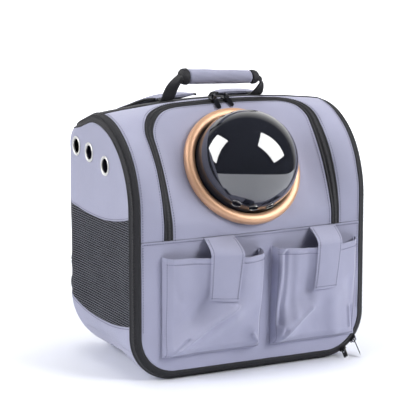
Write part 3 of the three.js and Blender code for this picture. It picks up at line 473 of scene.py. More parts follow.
def meshPiece(name, points, faces, material, uv=None, welded=False, cutters=(), **finish):
    used = np.unique(np.concatenate([np.asarray(face) for face in faces]))
    number = np.full(len(points), -1)
    number[used] = np.arange(len(used))
    mesh = bpy.data.meshes.new(name)
    faces = [number[list(face)].tolist() for face in faces]
    mesh.from_pydata((np.asarray(points)[used] * mm).tolist(), [], faces)
    if uv is not None:
        layer = mesh.uv_layers.new(name="weave")
        corners = np.empty(len(mesh.loops), int)
        mesh.loops.foreach_get("vertex_index", corners)
        layer.data.foreach_set("uv", (np.asarray(uv)[used][corners] * mm).ravel())
    mesh.materials.append(material)
    mesh.validate()
    if welded:
        weld(mesh)
    piece = bpy.data.objects.new(name, mesh)
    scene.collection.objects.link(piece)
    if cutters:
        cutHoles(piece, cutters)
    return finishPiece(piece, **finish)


def sheetFaces(rows, columns, kept=None, ringed=False):
    number = np.arange(rows * columns).reshape(rows, columns)
    if ringed:
        number = np.hstack([number, number[:, :1]])
    quads = np.stack([number[:-1, :-1], number[:-1, 1:], number[1:, 1:], number[1:, :-1]], axis=-1)
    quads = quads.reshape(-1, 4) if kept is None else quads[kept]
    count = rows * columns
    inner = quads[:, ::-1] + count
    starts = quads.ravel()
    ends = np.roll(quads, -1, axis=1).ravel()
    lone = ~np.isin(starts * count + ends, ends * count + starts)
    walls = np.stack([ends[lone], starts[lone], starts[lone] + count, ends[lone] + count], axis=-1)
    return quads, inner, walls


def clothPiece(name, at, out, wall, uv, material, kept=None, ringed=False, **finish):
    rows, columns = at.shape[:2]
    quads, inner, walls = sheetFaces(rows, columns, kept, ringed)
    flatAt, flatOut = at.reshape(-1, 3), out.reshape(-1, 3)
    points = np.concatenate([flatAt, flatAt - flatOut * wall])
    a, b, d = (flatAt[quads[:, i]] for i in (0, 1, 3))
    facing = np.einsum("ij,ij->i", np.cross(b - a, d - a), flatOut[quads[:, 0]])
    faces = np.concatenate([quads, inner, walls])
    if facing.sum() < 0:
        faces = faces[:, ::-1]
    flatUv = uv.reshape(-1, 2)
    return meshPiece(name, points, faces.tolist(), material, np.concatenate([flatUv, flatUv]), **finish)


def wrapPiece(name, x, s, proud, wall=bag["cloth"], material=lilac, **finish):
    at, out = onWrap(x, s, proud)
    clothPiece(name, at, out, wall, stack(x, s), material, **finish)


def barPiece(name, sections, material, **finish):
    sections = np.asarray(sections, float)
    steps, count = sections.shape[:2]
    run, girth = lengthAlong(sections.mean(axis=1)), lengthAlong(sections[steps // 2])
    number = np.arange(steps * count).reshape(steps, count)
    turned = np.roll(number, -1, axis=1)
    quads = np.stack([number[:-1], turned[:-1], turned[1:], number[1:]], axis=-1).reshape(-1, 4)
    faces = quads.tolist() + [number[0][::-1].tolist(), number[-1].tolist()]
    points = sections.reshape(-1, 3)
    triangles = np.concatenate([quads[:, [0, 1, 2]], quads[:, [0, 2, 3]]])
    centred = points - points.mean(axis=0)
    a, b, c = (centred[triangles[:, i]] for i in range(3))
    if np.einsum("ij,ij->i", a, np.cross(b, c)).sum() < 0:
        faces = [face[::-1] for face in faces]
    uv = stack(run[:, None], girth[None, :]).reshape(-1, 2)
    return meshPiece(name, points, faces, material, uv, **finish)


def spunPiece(name, profile, steps, toWorld, material, **finish):
    profile = np.asarray(profile, float)
    turn = fullTurn(steps)
    sections = stack(
        profile[None, :, 0] * np.sin(turn)[:, None], profile[None, :, 1],
        profile[None, :, 0] * np.cos(turn)[:, None],
    )
    count = len(profile)
    number = np.arange(steps * count).reshape(steps, count)
    nextRing, nextPoint = np.roll(number, -1, axis=0), np.roll(number, -1, axis=1)
    quads = np.stack([number, nextPoint, np.roll(nextRing, -1, axis=1), nextRing], axis=-1).reshape(-1, 4)
    points = sections.reshape(-1, 3) @ toWorld[:3, :3].T + toWorld[:3, 3]
    middle = points.mean(axis=0)
    a, b, c = (points[quads[:, i]] - middle for i in (0, 1, 2))
    d = points[quads[:, 3]] - middle
    volume = sum(np.einsum("ij,ij->i", a, np.cross(*pair)).sum() for pair in ((b, c), (c, d)))
    faces = quads[:, ::-1] if volume < 0 else quads
    return meshPiece(name, points, faces.tolist(), material, **finish)


def socketOn(tree, name, kind, value=None, output=False):
    socket = tree.interface.new_socket(name, in_out="OUTPUT" if output else "INPUT", socket_type=kind)
    if value is not None:
        socket.default_value = value


def beadTree():  # small beads set along a path, each turned to the path and to the cloth's face
    tree = bpy.data.node_groups.new("beadsAlongPath", "GeometryNodeTree")
    socketOn(tree, "Path", "NodeSocketGeometry")
    for name, value in (("Pitch", 0.0034), ("Length", 0.0026), ("Width", 0.0008), ("Height", 0.0006)):
        socketOn(tree, name, "NodeSocketFloat", value)
    socketOn(tree, "Material", "NodeSocketMaterial")
    socketOn(tree, "Beads", "NodeSocketGeometry", output=True)
    make = tree.nodes.new
    link = tree.links.new
    given, result = make("NodeGroupInput"), make("NodeGroupOutput")
    curve, spaced = make("GeometryNodeMeshToCurve"), make("GeometryNodeResampleCurve")
    spaced.mode = "LENGTH"
    bead = make("GeometryNodeMeshUVSphere")
    bead.inputs["Segments"].default_value = 6
    bead.inputs["Rings"].default_value = 4
    bead.inputs["Radius"].default_value = 0.5
    facing = make("GeometryNodeInputNamedAttribute")
    facing.data_type = "FLOAT_VECTOR"
    facing.inputs["Name"].default_value = "facing"
    lift, swing = make("FunctionNodeAlignRotationToVector"), make("FunctionNodeAlignRotationToVector")
    lift.axis = "Z"
    swing.axis = "X"
    swing.pivot_axis = "Z"
    size, scatter = make("ShaderNodeCombineXYZ"), make("GeometryNodeInstanceOnPoints")
    real, painted = make("GeometryNodeRealizeInstances"), make("GeometryNodeSetMaterial")
    link(given.outputs["Path"], curve.inputs[0])
    link(curve.outputs[0], spaced.inputs["Curve"])
    link(given.outputs["Pitch"], spaced.inputs["Length"])
    link(facing.outputs[0], lift.inputs["Vector"])
    link(lift.outputs[0], swing.inputs["Rotation"])
    link(make("GeometryNodeInputTangent").outputs[0], swing.inputs["Vector"])
    for source, axis in (("Length", "X"), ("Width", "Y"), ("Height", "Z")):
        link(given.outputs[source], size.inputs[axis])
    link(spaced.outputs[0], scatter.inputs["Points"])
    link(bead.outputs[0], scatter.inputs["Instance"])
    link(swing.outputs[0], scatter.inputs["Rotation"])
    link(size.outputs[0], scatter.inputs["Scale"])
    link(scatter.outputs[0], real.inputs[0])
    link(real.outputs[0], painted.inputs["Geometry"])
    link(given.outputs["Material"], painted.inputs["Material"])
    link(painted.outputs[0], result.inputs[0])
    return tree


beads = beadTree()


def beadPiece(name, paths, material, sizes, slot="cloth"):
    points, edges, facing = [], [], []
    for at, out in paths:
        first = len(points)
        points += (np.asarray(at) * mm).tolist()
        facing += np.asarray(out).tolist()
        edges += [(first + i, first + i + 1) for i in range(len(at) - 1)]
    mesh = bpy.data.meshes.new(name + "Path")
    mesh.from_pydata(points, edges, [])
    layer = mesh.attributes.new("facing", "FLOAT_VECTOR", "POINT")
    layer.data.foreach_set("vector", np.asarray(facing, float).ravel())
    guide = bpy.data.objects.new(name + "Path", mesh)
    scene.collection.objects.link(guide)
    modifier = guide.modifiers.new("beads", "NODES")
    modifier.node_group = beads
    sockets = [item for item in beads.interface.items_tree if item.in_out == "INPUT"]
    inputs = {item.name: item.identifier for item in sockets}
    for key, value in sizes.items():
        modifier[inputs[key]] = value * mm
    modifier[inputs["Material"]] = material
    made = bpy.data.meshes.new_from_object(guide.evaluated_get(bpy.context.evaluated_depsgraph_get()))
    bpy.data.objects.remove(guide)
    made.name = name
    piece = bpy.data.objects.new(name, made)
    scene.collection.objects.link(piece)
    finishPiece(piece, slot=slot, sharp=80)


stitch = {"Pitch": 3.6, "Length": 2.7, "Width": 1.1, "Height": 0.6}

# Black bands round the front and top edges: two piped edges and a zip coil under its tape.
band = {
    "piping": 1.5, "coil": 1.0, "groove": 0.7, "wall": 2, "steps": 30, "sunk": 0.6, "coilSunk": 0.5,
}


def bandRelief(v):
    edges = hump(v, 0.08, 0.07) + hump(v, 0.92, 0.07)
    middle = band["coil"] * hump(v, 0.5, 0.17) - band["groove"] * hump(v, 0.5, 0.025)
    return band["piping"] * edges + middle


def bandPiece(name, frames, instead):
    centre, radius, face, flank = frames
    share = np.linspace(0, 1, band["steps"])
    turn = np.minimum(math.pi / 2, bandRun / radius)[:, None] * share
    out = face[:, None] * np.cos(turn)[..., None] + flank[:, None] * np.sin(turn)[..., None]
    at = centre[:, None] + out * (radius[:, None] + bandRelief(share) - band["sunk"])[..., None]
    half = band["steps"] // 2
    run = lengthAlong(at[:, half])
    uv = stack(run[:, None], share * bandRun)
    clothPiece(name, at, out, band["wall"], uv, tape, instead=(instead,), slot="webbing", sharp=70)
    middle = turn[:, half][:, None]
    coilOut = face * np.cos(middle) + flank * np.sin(middle)
    return centre + coilOut * (radius[:, None] + band["coil"] - band["coilSunk"]), coilOut


coilPaths = []
bothSides = (("left", -1), ("right", 1))
for name, side in bothSides:
    frames = joinFrames(
        cornerFrames(side, np.linspace(gap / bag["baseRadius"], math.pi / 2, 50)[:-1], True),
        edgeFrames(side, np.linspace(bag["baseRadius"], backStart - gap, 330)),
    )
    coilPaths.append(bandPiece(name + "EdgeBand", frames, name + "_edge_band"))
baseHalf = halfBody - bag["baseRadius"]
acrossBase = np.linspace(-baseHalf, baseHalf, 110)
bottomFrames = cornerFrames(1, 0 * acrossBase, True, acrossBase)
coilPaths.append(bandPiece("bottomEdgeBand", bottomFrames, "bottom_edge_band"))
rearDown = np.linspace(backStart, endStation - bag["rearBaseRadius"], 90)
rearTurns = np.linspace(0, math.pi / 2, 50)
rearFrames = joinFrames(
    edgeFrames(-1, rearDown[:-1]), cornerFrames(-1, rearTurns[::-1][:-1], False),
    cornerFrames(1, rearTurns[:-1], False), edgeFrames(1, rearDown[::-1]),
)
bandPiece("rearEdgeBand", rearFrames, "rear_edge_band")
print("edge bands made")


def faceGrid(radius, around, low, high, rows, station=lambda z: z):
    inner, flatHalf = around - radius - gap, halfBody - around
    turn = np.linspace(0, math.pi / 2, 34)
    cornerX, cornerLow = flatHalf + inner * np.sin(turn), around - inner * np.cos(turn)
    flat = np.linspace(-flatHalf, flatHalf, 70)[1:-1]
    x = np.concatenate([-cornerX[::-1], flat, cornerX])
    bottom = np.concatenate([cornerLow[::-1], 0 * flat + radius + gap, cornerLow])
    v = np.linspace(0, 1, rows)[:, None]
    return x + 0 * v, station(mix(bottom + low, high, v))


# Lower front: a flat panel with a folded top edge and soft ripples.
lowerFront = {"ripple": 0.55, "fold": 0.8}
x, s = faceGrid(bag["frontEdge"], bag["baseRadius"], 0, bag["seamHeight"] - gap, 70)
topFold = lowerFront["fold"] * ease(bag["seamHeight"] - 5, bag["seamHeight"] - 2, s)
wrapPiece("lowerFrontPanel", x, s, lowerFront["ripple"] * softNoise(x, s, 90, 4) + topFold,
          instead=("lower_front_panel",))

# The back is padded in three upright channels.
backPad = {
    "rise": 3.5, "channels": (-58, 58), "groove": 7, "edge": 14, "wall": 3, "foot": 36, "footFade": 16,
}
x, s = faceGrid(bag["rearEdge"], bag["rearBaseRadius"], 0, rearCentreZ - gap, 80, lambda z: endStation - z)
quilted = backPad["rise"] * (1 - sum(hump(x, middle, backPad["groove"]) for middle in backPad["channels"]))
held = ease(0, backPad["edge"], halfWidthAt(s) - np.abs(x)) * ease(0, backPad["edge"], s - backStart)
held = held * ease(0, backPad["footFade"], endStation - backPad["foot"] - s)
wrapPiece("backPanel", x, s, (quilted + 0.5 * softNoise(x, s, 40, 9)) * held * 0.5, backPad["wall"],
          padding, instead=("back_panel",))

# The flap, its zip and the cloth around it lie on the unrolled front: x across, s along.
topSeam = shoulderStation + bag["shoulderRadius"] * math.acos(window["topSeamSet"] / bag["shoulderRadius"])
flapTop = topSeam - window["topSet"]
firstStation = bag["seamHeight"] + gap
rimSteps = {"leg": 90, "corner": 34, "across": 72}


def flapRim(grow):
    half, top = window["halfWidth"] + grow, flapTop + grow
    sides = []
    for side, corner in ((-1, window["cornerLeft"] + grow), (1, window["cornerRight"] + grow)):
        leg = np.linspace(firstStation, top - corner, rimSteps["leg"])
        turn = np.linspace(0, math.pi / 2, rimSteps["corner"])[1:]
        bendX, bendS = half - corner + corner * np.cos(turn), top - corner + corner * np.sin(turn)
        sides.append(stack(side * np.concatenate([half + 0 * leg, bendX]), np.concatenate([leg, bendS])))
    left, right = sides
    across = np.linspace(left[-1][0], right[-1][0], rimSteps["across"])[1:-1]
    return np.concatenate([left, stack(across, top + 0 * across), right[::-1]])


def stripOnWrap(outer, inner, steps):
    v = np.linspace(0, 1, steps)[:, None, None]
    return mix(inner, outer, v)


flapZip = {"steps": 26, "wall": 2.4, "piping": 1.3, "coil": 1.2, "coilProud": 0.7}
rim = stripOnWrap(flapRim(window["zipWidth"] - gap), flapRim(gap), flapZip["steps"])
zipShare = np.linspace(0, 1, flapZip["steps"])[:, None]
zipRelief = flapZip["piping"] * (hump(zipShare, 0.10, 0.09) + hump(zipShare, 0.90, 0.09))
zipRelief = zipRelief + flapZip["coil"] * hump(zipShare, 0.5, 0.2)
at, out = onWrap(rim[..., 0], rim[..., 1], zipRelief + 0 * rim[..., 0] - 0.1)
run = lengthAlong(rim[flapZip["steps"] // 2])
uv = stack(run + 0 * zipShare, zipShare * window["zipWidth"])
clothPiece("flapZipTape", at, out, flapZip["wall"], uv, tape, instead=("flap_zipper",), slot="webbing",
           sharp=70)
middle = flapRim(window["zipWidth"] / 2)
coilPaths.append(onWrap(middle[:, 0], middle[:, 1], flapZip["coilProud"]))
coil = {"Pitch": 1.9, "Length": 1.3, "Width": 4.6, "Height": 1.5}
beadPiece("zipCoils", coilPaths, coilMaterial, coil, slot="webbing")

outerRim = flapRim(window["zipWidth"])
edgeS = np.clip(outerRim[:, 1], firstStation, topSeam - gap)
cornerHalf = rimSteps["leg"] + rimSteps["corner"] // 2
flatFrom = rimSteps["leg"] + 2 * rimSteps["corner"]
outerS = edgeS.copy()
outerX = np.sign(outerRim[:, 0]) * (halfWidthAt(edgeS) - gap)
for order, side in ((slice(None), -1), (slice(None, None, -1), 1)):
    rimX, rimS = outerRim[order, 0], outerRim[order, 1]
    climb = np.arange(len(rimX))
    up = climb[:cornerHalf]
    outerS[order][:cornerHalf] = np.interp(up, [0, rimSteps["leg"], cornerHalf - 1], [
        firstStation, rimS[rimSteps["leg"]] + 8, topSeam - gap,
    ])
    over = climb[cornerHalf:flatFrom]
    farX = halfWidthAt(topSeam) - gap
    outerX[order][cornerHalf:flatFrom] = np.interp(
        over, [cornerHalf, flatFrom - 1], [side * farX, rimX[flatFrom - 1]])
    outerS[order][cornerHalf:flatFrom] = topSeam - gap
inTheMiddle = slice(flatFrom, len(outerRim) - flatFrom)
outerX[inTheMiddle] = outerRim[inTheMiddle, 0]
outerS[inTheMiddle] = topSeam - gap
outerX[:cornerHalf] = -(halfWidthAt(outerS[:cornerHalf]) - gap)
outerX[-cornerHalf:] = halfWidthAt(outerS[-cornerHalf:]) - gap
surround = stripOnWrap(stack(outerX, outerS), outerRim, 30)
x, s = surround[..., 0], surround[..., 1]
wrapPiece("flapSurround", x, s, 0.6 * softNoise(x, s, 70, 12) - 0.2, instead=("flap_surround",))

# The window flap: rays from the ring out to the zip.
ringMiddle = shoulderStation + bag["shoulderRadius"] * window["tilt"] - window["raysDrop"]
ringCentre = shoulderCentre + chordOut * window["reach"] - chordUp * window["drop"]
innerRim = flapRim(0)
bottomX = np.linspace(window["halfWidth"], -window["halfWidth"], 120)[1:-1]
flapBorder = np.concatenate([innerRim, stack(bottomX, firstStation + 0 * bottomX)])
rays = np.linspace(0.0, 1.0, 46)[:, None]


def ringReach(share):
    x, s = flapBorder[:, 0] * share, mix(ringMiddle, flapBorder[:, 1], share)
    at, _ = onWrap(x, s)
    away = at - ringCentre
    return np.linalg.norm(away - (away @ chordOut)[:, None] * chordOut, axis=1)


flapHole = {"radius": 76, "crowding": 1.15, "halvings": 30, "waves": 23, "pull": 0.7}
nearest, furthest = np.zeros(len(flapBorder)), np.ones(len(flapBorder))
for _ in range(flapHole["halvings"]):
    half = (nearest + furthest) / 2
    inside = ringReach(half) < flapHole["radius"]
    nearest, furthest = np.where(inside, half, nearest), np.where(inside, furthest, half)
share = mix(nearest, 1, rays ** flapHole["crowding"])
x, s = flapBorder[:, 0] * share, mix(ringMiddle, flapBorder[:, 1], share)
turnAround = np.arctan2(s - ringMiddle, x)
fromRing = (share - nearest) / (1 - nearest)
pull = flapHole["pull"] * np.sin(turnAround * flapHole["waves"] + 2 * softNoise(x, s, 60, 3))
pull = pull * np.exp(-fromRing * 9) * ease(0, 0.05, fromRing)
billow = 0.8 * softNoise(x, s, 95, 21) * ease(0, 0.3, fromRing) * ease(0, 0.12, 1 - fromRing)
wrapPiece("windowFlap", x, s, billow + pull - 0.2, ringed=True, instead=("window_flap",))
print("front made")

u, v = np.linspace(-1, 1, 110), np.linspace(0, 1, 110)[:, None]
s = mix(topSeam + gap, backStart - gap, v) + 0 * u
x = u * (halfWidthAt(s) - gap)
seamRoll = 1.2 * hump(s, topSeam + 3, 2.2)
wrapPiece("rearTopPanel", x, s, 0.4 * softNoise(x, s, 60, 31) + seamRoll, material=charcoal,
          instead=("rear_top_panel",), slot="webbing")

# Sides: upper cloth with its grommets, a net window and a lower cloth. Places are (y, z).
sidePanel = {
    "seam": 41, "netLow": 65, "netHigh": 205, "lowRise": (13, 25), "highRise": (18, 10),
    "hole": 12, "sag": 3.0, "ripple": 0.8, "netWall": 1.2, "fade": 50, "fadeUp": 45,
}
grommets = {
    "places": {"rear": (80, 293), "middle": (37, 290.5), "front": (-15, 280)},
    "inner": 10, "flange": 3.5, "rise": 1.1, "set": 0.3, "steps": 56,
}


def sideRim(s):
    s = np.asarray(s, float)
    y, z, ny, nz = outline(s)
    radius = edgeAt(s)
    turn = np.minimum(math.pi / 2, bandRun / radius) + gap / radius
    return stack(y - ny * radius * (1 - np.cos(turn)), z - nz * radius * (1 - np.cos(turn)))


rimFront = float(sideRim(bag["seamHeight"])[0])
rimBack = float(sideRim(endStation - bag["seamHeight"])[0])


def sagLine(level, frontRise, backRise, lift=0):
    def line(u):
        y = mix(rimFront, rimBack, np.asarray(u, float))
        away = (y - (frontY + backY) / 2) / (bag["depth"] / 2)
        return stack(y, level + lift + np.where(away < 0, frontRise, backRise) * away ** 2)
    return line


def coons(low, high, front, back, columns, rows):
    u, v = np.linspace(0, 1, columns)[None, :], np.linspace(0, 1, rows)[:, None]
    across = mix(low(u), high(u), v[..., None])
    upward = mix(front(v), back(v), u[..., None])
    corners = mix(mix(low(0), low(1), u[..., None]), mix(high(0), high(1), u[..., None]), v[..., None])
    return across + upward - corners


def upright(low, high, u):
    return lambda v: stack(float(low(u)[0]) + 0 * v, mix(float(low(u)[1]), float(high(u)[1]), v))


def netLow(lift):
    return sagLine(sidePanel["netLow"], *sidePanel["lowRise"], lift)


def netHigh(lift):
    return sagLine(sidePanel["netHigh"], *sidePanel["highRise"], lift)


def lowerSeam(u):
    return stack(mix(rimFront, rimBack, np.asarray(u, float)), sidePanel["seam"])


upperFront = shoulderStation + bag["shoulderRadius"] * 0.35
upperBack = rearTurnStation + bag["rearTopRadius"] * 0.5
for name, way in bothSides:
    low = netHigh(gap)
    yz = coons(
        low, lambda u: sideRim(mix(upperFront, upperBack, u)),
        lambda v: sideRim(mix(float(low(0)[1]), upperFront, v)),
        lambda v: sideRim(mix(endStation - float(low(1)[1]), upperBack, v)), 150, 90,
    )
    kept = np.ones((yz.shape[0] - 1, yz.shape[1] - 1), bool)
    inHole = np.zeros(yz.shape[:2], bool)
    for place in grommets["places"].values():
        away = yz - np.array(place)
        far = np.hypot(away[..., 0], away[..., 1])
        near = far < sidePanel["hole"]
        inHole |= near
        onRim = np.array(place) + away / np.maximum(far, 0.1)[..., None] * sidePanel["hole"]
        yz = np.where(near[..., None], onRim, yz)
    kept &= ~(inHole[:-1, :-1] & inHole[1:, :-1] & inHole[:-1, 1:] & inHole[1:, 1:])
    y, z = yz[..., 0], yz[..., 1]
    rippled = 0.5 * softNoise(y, z, 80, 41 + way) * ease(6, 18, z - sidePanel["netHigh"])
    at, out = onSide(way, y, z, rippled)
    clothPiece(name + "UpperSide", at, out, bag["cloth"], yz, lilac, kept=kept,
               instead=(name + "_upper_side",))
    low, high = netLow(gap), netHigh(0)
    yz = coons(low, high, upright(low, high, 0), upright(low, high, 1), 110, 70)
    y, z = yz[..., 0], yz[..., 1]
    inward = ease(0, sidePanel["fade"], y - rimFront) * ease(0, sidePanel["fade"], rimBack - y)
    inward = inward * ease(0, sidePanel["fadeUp"], z - sidePanel["netLow"] - 1)
    inward = inward * ease(0, sidePanel["fadeUp"], sidePanel["netHigh"] - z)
    sagging = (sidePanel["ripple"] * softNoise(y, z, 70, 55 + way) - sidePanel["sag"]) * inward
    at, out = onSide(way, y, z, sagging)
    clothPiece(name + "Net", at, out, sidePanel["netWall"], yz, net,
               instead=(name + "_mesh",), slot="mesh")
    low, high = lowerSeam, netLow(0)
    yz = coons(low, high, upright(low, high, 0), upright(low, high, 1), 110, 26)
    y, z = yz[..., 0], yz[..., 1]
    at, out = onSide(way, y, z, 0.3 * softNoise(y, z, 60, 61 + way))
    clothPiece(name + "LowerSide", at, out, bag["cloth"], yz, lilac, instead=(name + "_lower_side",))
    toWorld = np.eye(4)
    toWorld[:3, :3] = np.array([[0, way, 0], [-way, 0, 0], [0, 0, 1]])
    for place, (back, height) in grommets["places"].items():
        toWorld[:3, 3] = (way * halfBody, back, height)
        profile = []
        for t in np.linspace(0, 0.82, 9):
            bulge = math.sin(math.pi * min(1, t * 1.05 + 0.12)) ** 0.8
            reach = grommets["inner"] + grommets["flange"] * t
            profile.append((reach, grommets["set"] + grommets["rise"] * bulge))
        outer = grommets["inner"] + grommets["flange"]
        profile += [
            (outer, 0.95), (outer, 0.5), (outer - 2.3, 0.45), (outer - 2.4, -1.2), (outer - 2.9, -1.5),
            (grommets["inner"], -1.1),
        ]
        spunPiece(f"{name}Grommet{place.title()}", profile, grommets["steps"], toWorld, nickel,
                  instead=(f"{name}_grommet_{place}",), slot="steel", sharp=60)
print("sides made")

# The base board turns up at the sides and the back.
base = {"wall": 3, "edge": bag["rearEdge"]}
share = np.concatenate([np.linspace(-1, 0, 40)[:-1], np.zeros(60), np.linspace(0, 1, 40)[1:]])
acrossBase = np.concatenate([np.full(39, -1.0), np.linspace(-1, 1, 60), np.full(39, 1.0)])
rearBandTurn = math.pi / 2 - bandRun / base["edge"] - gap / base["edge"]
lastY = backY - base["edge"]
rowY = np.concatenate([np.linspace(frontY + bag["frontEdge"] + gap, lastY, 60), np.full(29, lastY)])
rowBend = np.concatenate([np.zeros(60), np.linspace(0, rearBandTurn, 30)[1:]])
around = baseRadiusAt(rowY)[:, None]
turn = share * (np.arccos((around - sidePanel["seam"]) / around) - gap / bag["baseRadius"])
flank = stack(np.sin(turn), 0, -np.cos(turn))
bend = rowBend[:, None] + 0 * turn
out = flank * np.cos(bend)[..., None] + np.array([0, 1, 0]) * np.sin(bend)[..., None]
at = stack(acrossBase * (halfBody - around), rowY[:, None], around)
at = at + flank * (around - base["edge"])[..., None] + out * base["edge"]
clothPiece("basePanel", at, out, base["wall"], at[..., :2], lilac, instead=("base_panel",))

# Pockets: sewn down both sides and along the bottom, with creases that pull to the corners.
pockets = {
    "left": {"side": -1, "inner": -6, "outer": 136, "creases": (
        (0.62, 0.42, 0.06, 0.02, 9, 0.12), (0.30, 0.95, 0.34, 0.45, -7, 0.16),
        (0.90, 0.20, 1.00, 0.02, 4, 0.08), (0.78, 0.96, 0.80, 0.55, 3, 0.12),
        (0.66, 0.48, 0.68, 1.00, 6.5, 0.26),
    ), "sharp": (
        (0.66, 0.50, 0.05, 0.02, 2.6, 0.016), (0.22, 0.17, 0.04, 0.015, -2.4, 0.022),
        (0.88, 0.17, 0.985, 0.02, 1.8, 0.018), (0.93, 0.16, 0.99, 0.05, -1.5, 0.016),
        (0.44, 0.60, 0.30, 0.36, -2.2, 0.07), (0.03, 0.86, 0.12, 0.60, -1.0, 0.05),
    )},
    "right": {"side": 1, "inner": 26, "outer": 157, "creases": (
        (0.36, 0.40, 0.04, 0.08, 7, 0.11), (0.16, 0.96, 0.22, 0.45, -8, 0.14),
        (0.66, 0.40, 0.72, 0.06, 4, 0.10), (0.90, 0.55, 0.97, 0.10, -3, 0.08),
        (0.62, 0.50, 0.64, 1.00, 4.5, 0.24),
    ), "sharp": (
        (0.40, 0.36, 0.03, 0.05, 2.2, 0.02), (0.09, 0.94, 0.05, 0.22, -3.6, 0.03),
        (0.36, 0.92, 0.36, 0.45, -3.0, 0.06), (0.10, 0.16, 0.02, 0.02, -2.0, 0.02),
        (0.90, 0.30, 0.93, 0.10, 2.0, 0.02), (0.94, 0.30, 0.985, 0.06, -1.6, 0.018),
        (0.22, 0.94, 0.22, 0.30, 2.0, 0.05),
    )},
}
pocketForm = {
    "bottom": 32, "top": 169, "wall": 1.6, "outerDepth": 16, "innerDepth": 29, "hem": 0.7,
    "soft": 1.25, "sharp": 1.7, "lipDip": 3.5, "sideRound": 0.07, "footRound": 0.09,
    "rows": 110, "columns": 130, "crowding": 0.05, "sideCrowding": 0.055, "stitchInset": 0.022,
    "stitchFoot": 3, "stitchLip": 8, "stitchProud": 0.15,
}


def creaseRise(lines, wide, high):
    rise = 0
    for fromWide, fromHigh, toWide, toHigh, height, width in lines:
        ex, ey = toWide - fromWide, toHigh - fromHigh
        t = np.clip(((wide - fromWide) * ex + (high - fromHigh) * ey) / (ex ** 2 + ey ** 2), 0, 1)
        off = np.hypot(wide - fromWide - t * ex, high - fromHigh - t * ey)
        rise = rise + height * np.exp(-((off / width) ** 2))
    return rise


def pocketDepth(pocket, x, z, fine=True):
    wide = (pocket["side"] * x - pocket["inner"]) / (pocket["outer"] - pocket["inner"])
    high = (z - pocketForm["bottom"]) / (pocketForm["top"] - pocketForm["bottom"])
    across = 1 - wide if pocket["side"] < 0 else wide
    full = mix(pocketForm["innerDepth"], pocketForm["outerDepth"], wide)
    body = full * (0.55 + 0.45 * ease(0, 0.8, high))
    body = body + pocketForm["soft"] * creaseRise(pocket["creases"], across, high)
    if fine:
        body = body + pocketForm["sharp"] * creaseRise(pocket["sharp"], across, high)
        body = body + 0.5 * softNoise(x, z, 34, 71)
    corner, foot = pocketForm["sideRound"], pocketForm["footRound"]
    hold = np.sqrt(np.clip(wide / corner, 0, 1)) * np.sqrt(np.clip((1 - wide) / corner, 0, 1))
    hold = hold * np.sqrt(np.clip(high / foot, 0, 1))
    seat = pocketForm["wall"] + gap
    return seat + np.maximum(0, body - seat) * hold


def lipSag(across):
    return pocketForm["lipDip"] * np.sin(math.pi * across) ** 0.7


def onPocket(pocket, x, z, proud=0, fine=True):
    at, _ = onWrap(x, z)
    return stack(x, at[..., 1] - pocketDepth(pocket, x, z, fine) - proud, z)


stitchPaths = []


def frontStitch(at):
    stitchPaths.append((at, np.tile(np.array([0.0, -1.0, 0.0]), (len(at), 1))))


for name, pocket in pockets.items():
    share = np.linspace(0, 1, pocketForm["columns"])
    share = share - pocketForm["sideCrowding"] * np.sin(2 * math.pi * share)
    rows = np.linspace(0, 1, pocketForm["rows"])[:, None]
    rows = rows - pocketForm["crowding"] * np.sin(2 * math.pi * rows)
    x = pocket["side"] * mix(pocket["inner"], pocket["outer"], share) + 0 * rows
    across = 1 - share if pocket["side"] < 0 else share
    z = mix(pocketForm["bottom"], pocketForm["top"] - lipSag(across), rows)
    high = rows + 0 * share
    hem = pocketForm["hem"] * ease(0.945, 0.955, high)
    at = onPocket(pocket, x, z, hem)
    clothPiece(name + "Pocket", at, stack(0 * x, -1, 0), pocketForm["wall"], stack(x, z), lilac,
               instead=(name + "_pocket",), sharp=60)
    inset, proud = pocketForm["stitchInset"], pocketForm["stitchProud"]
    foot, lip = pocketForm["bottom"] + pocketForm["stitchFoot"], pocketForm["top"] - pocketForm["stitchLip"]
    for column in (inset, 1 - inset):
        z = np.linspace(foot, pocketForm["top"] - 2, 90)
        x = pocket["side"] * mix(pocket["inner"], pocket["outer"], column) + 0 * z
        frontStitch(onPocket(pocket, x, z, proud))
    run = np.linspace(inset, 1 - inset, 90)
    x = pocket["side"] * mix(pocket["inner"], pocket["outer"], run)
    frontStitch(onPocket(pocket, x, foot + 0 * run, proud))
    frontStitch(onPocket(pocket, x, lip - lipSag(run), proud))

# Tabs hang from the seam over the pockets' mouths.
tabs = {
    "left": {"outerTop": -76, "innerTop": -33, "outerEnd": -76.5, "innerEnd": -41},
    "right": {"outerTop": 124, "innerTop": 84, "outerEnd": 114.5, "innerEnd": 79},
}
tabForm = {
    "width": 40, "drop": 82, "wall": 2, "rest": 3.0, "stitchInset": 0.075, "stitchEnd": 0.955,
    "stitchProud": 0.4,
}


def onTab(name, u, down, proud=0):
    tab, pocket = tabs[name], pockets[name]
    x = mix(mix(tab["outerTop"], tab["innerTop"], u), mix(tab["outerEnd"], tab["innerEnd"], u), down)
    top = bag["seamHeight"] - gap
    z = top - tabForm["drop"] * down + 0 * x
    lip = pocketForm["top"]
    seam = onWrap(x, z)[0][..., 1] - tabForm["wall"] - gap
    rest = tabForm["rest"]
    lying = onPocket(pocket, x, np.minimum(z, lip), rest, False)[..., 1]
    lying = np.minimum(lying, onPocket(pocket, x, np.minimum(z, lip), rest - 1.2)[..., 1])
    reach = np.sin(np.clip((top - z) / (top - lip), 0, 1) * math.pi / 2)
    y = np.where(z <= lip, lying, mix(seam, lying, reach))
    return stack(x, y - proud, z)


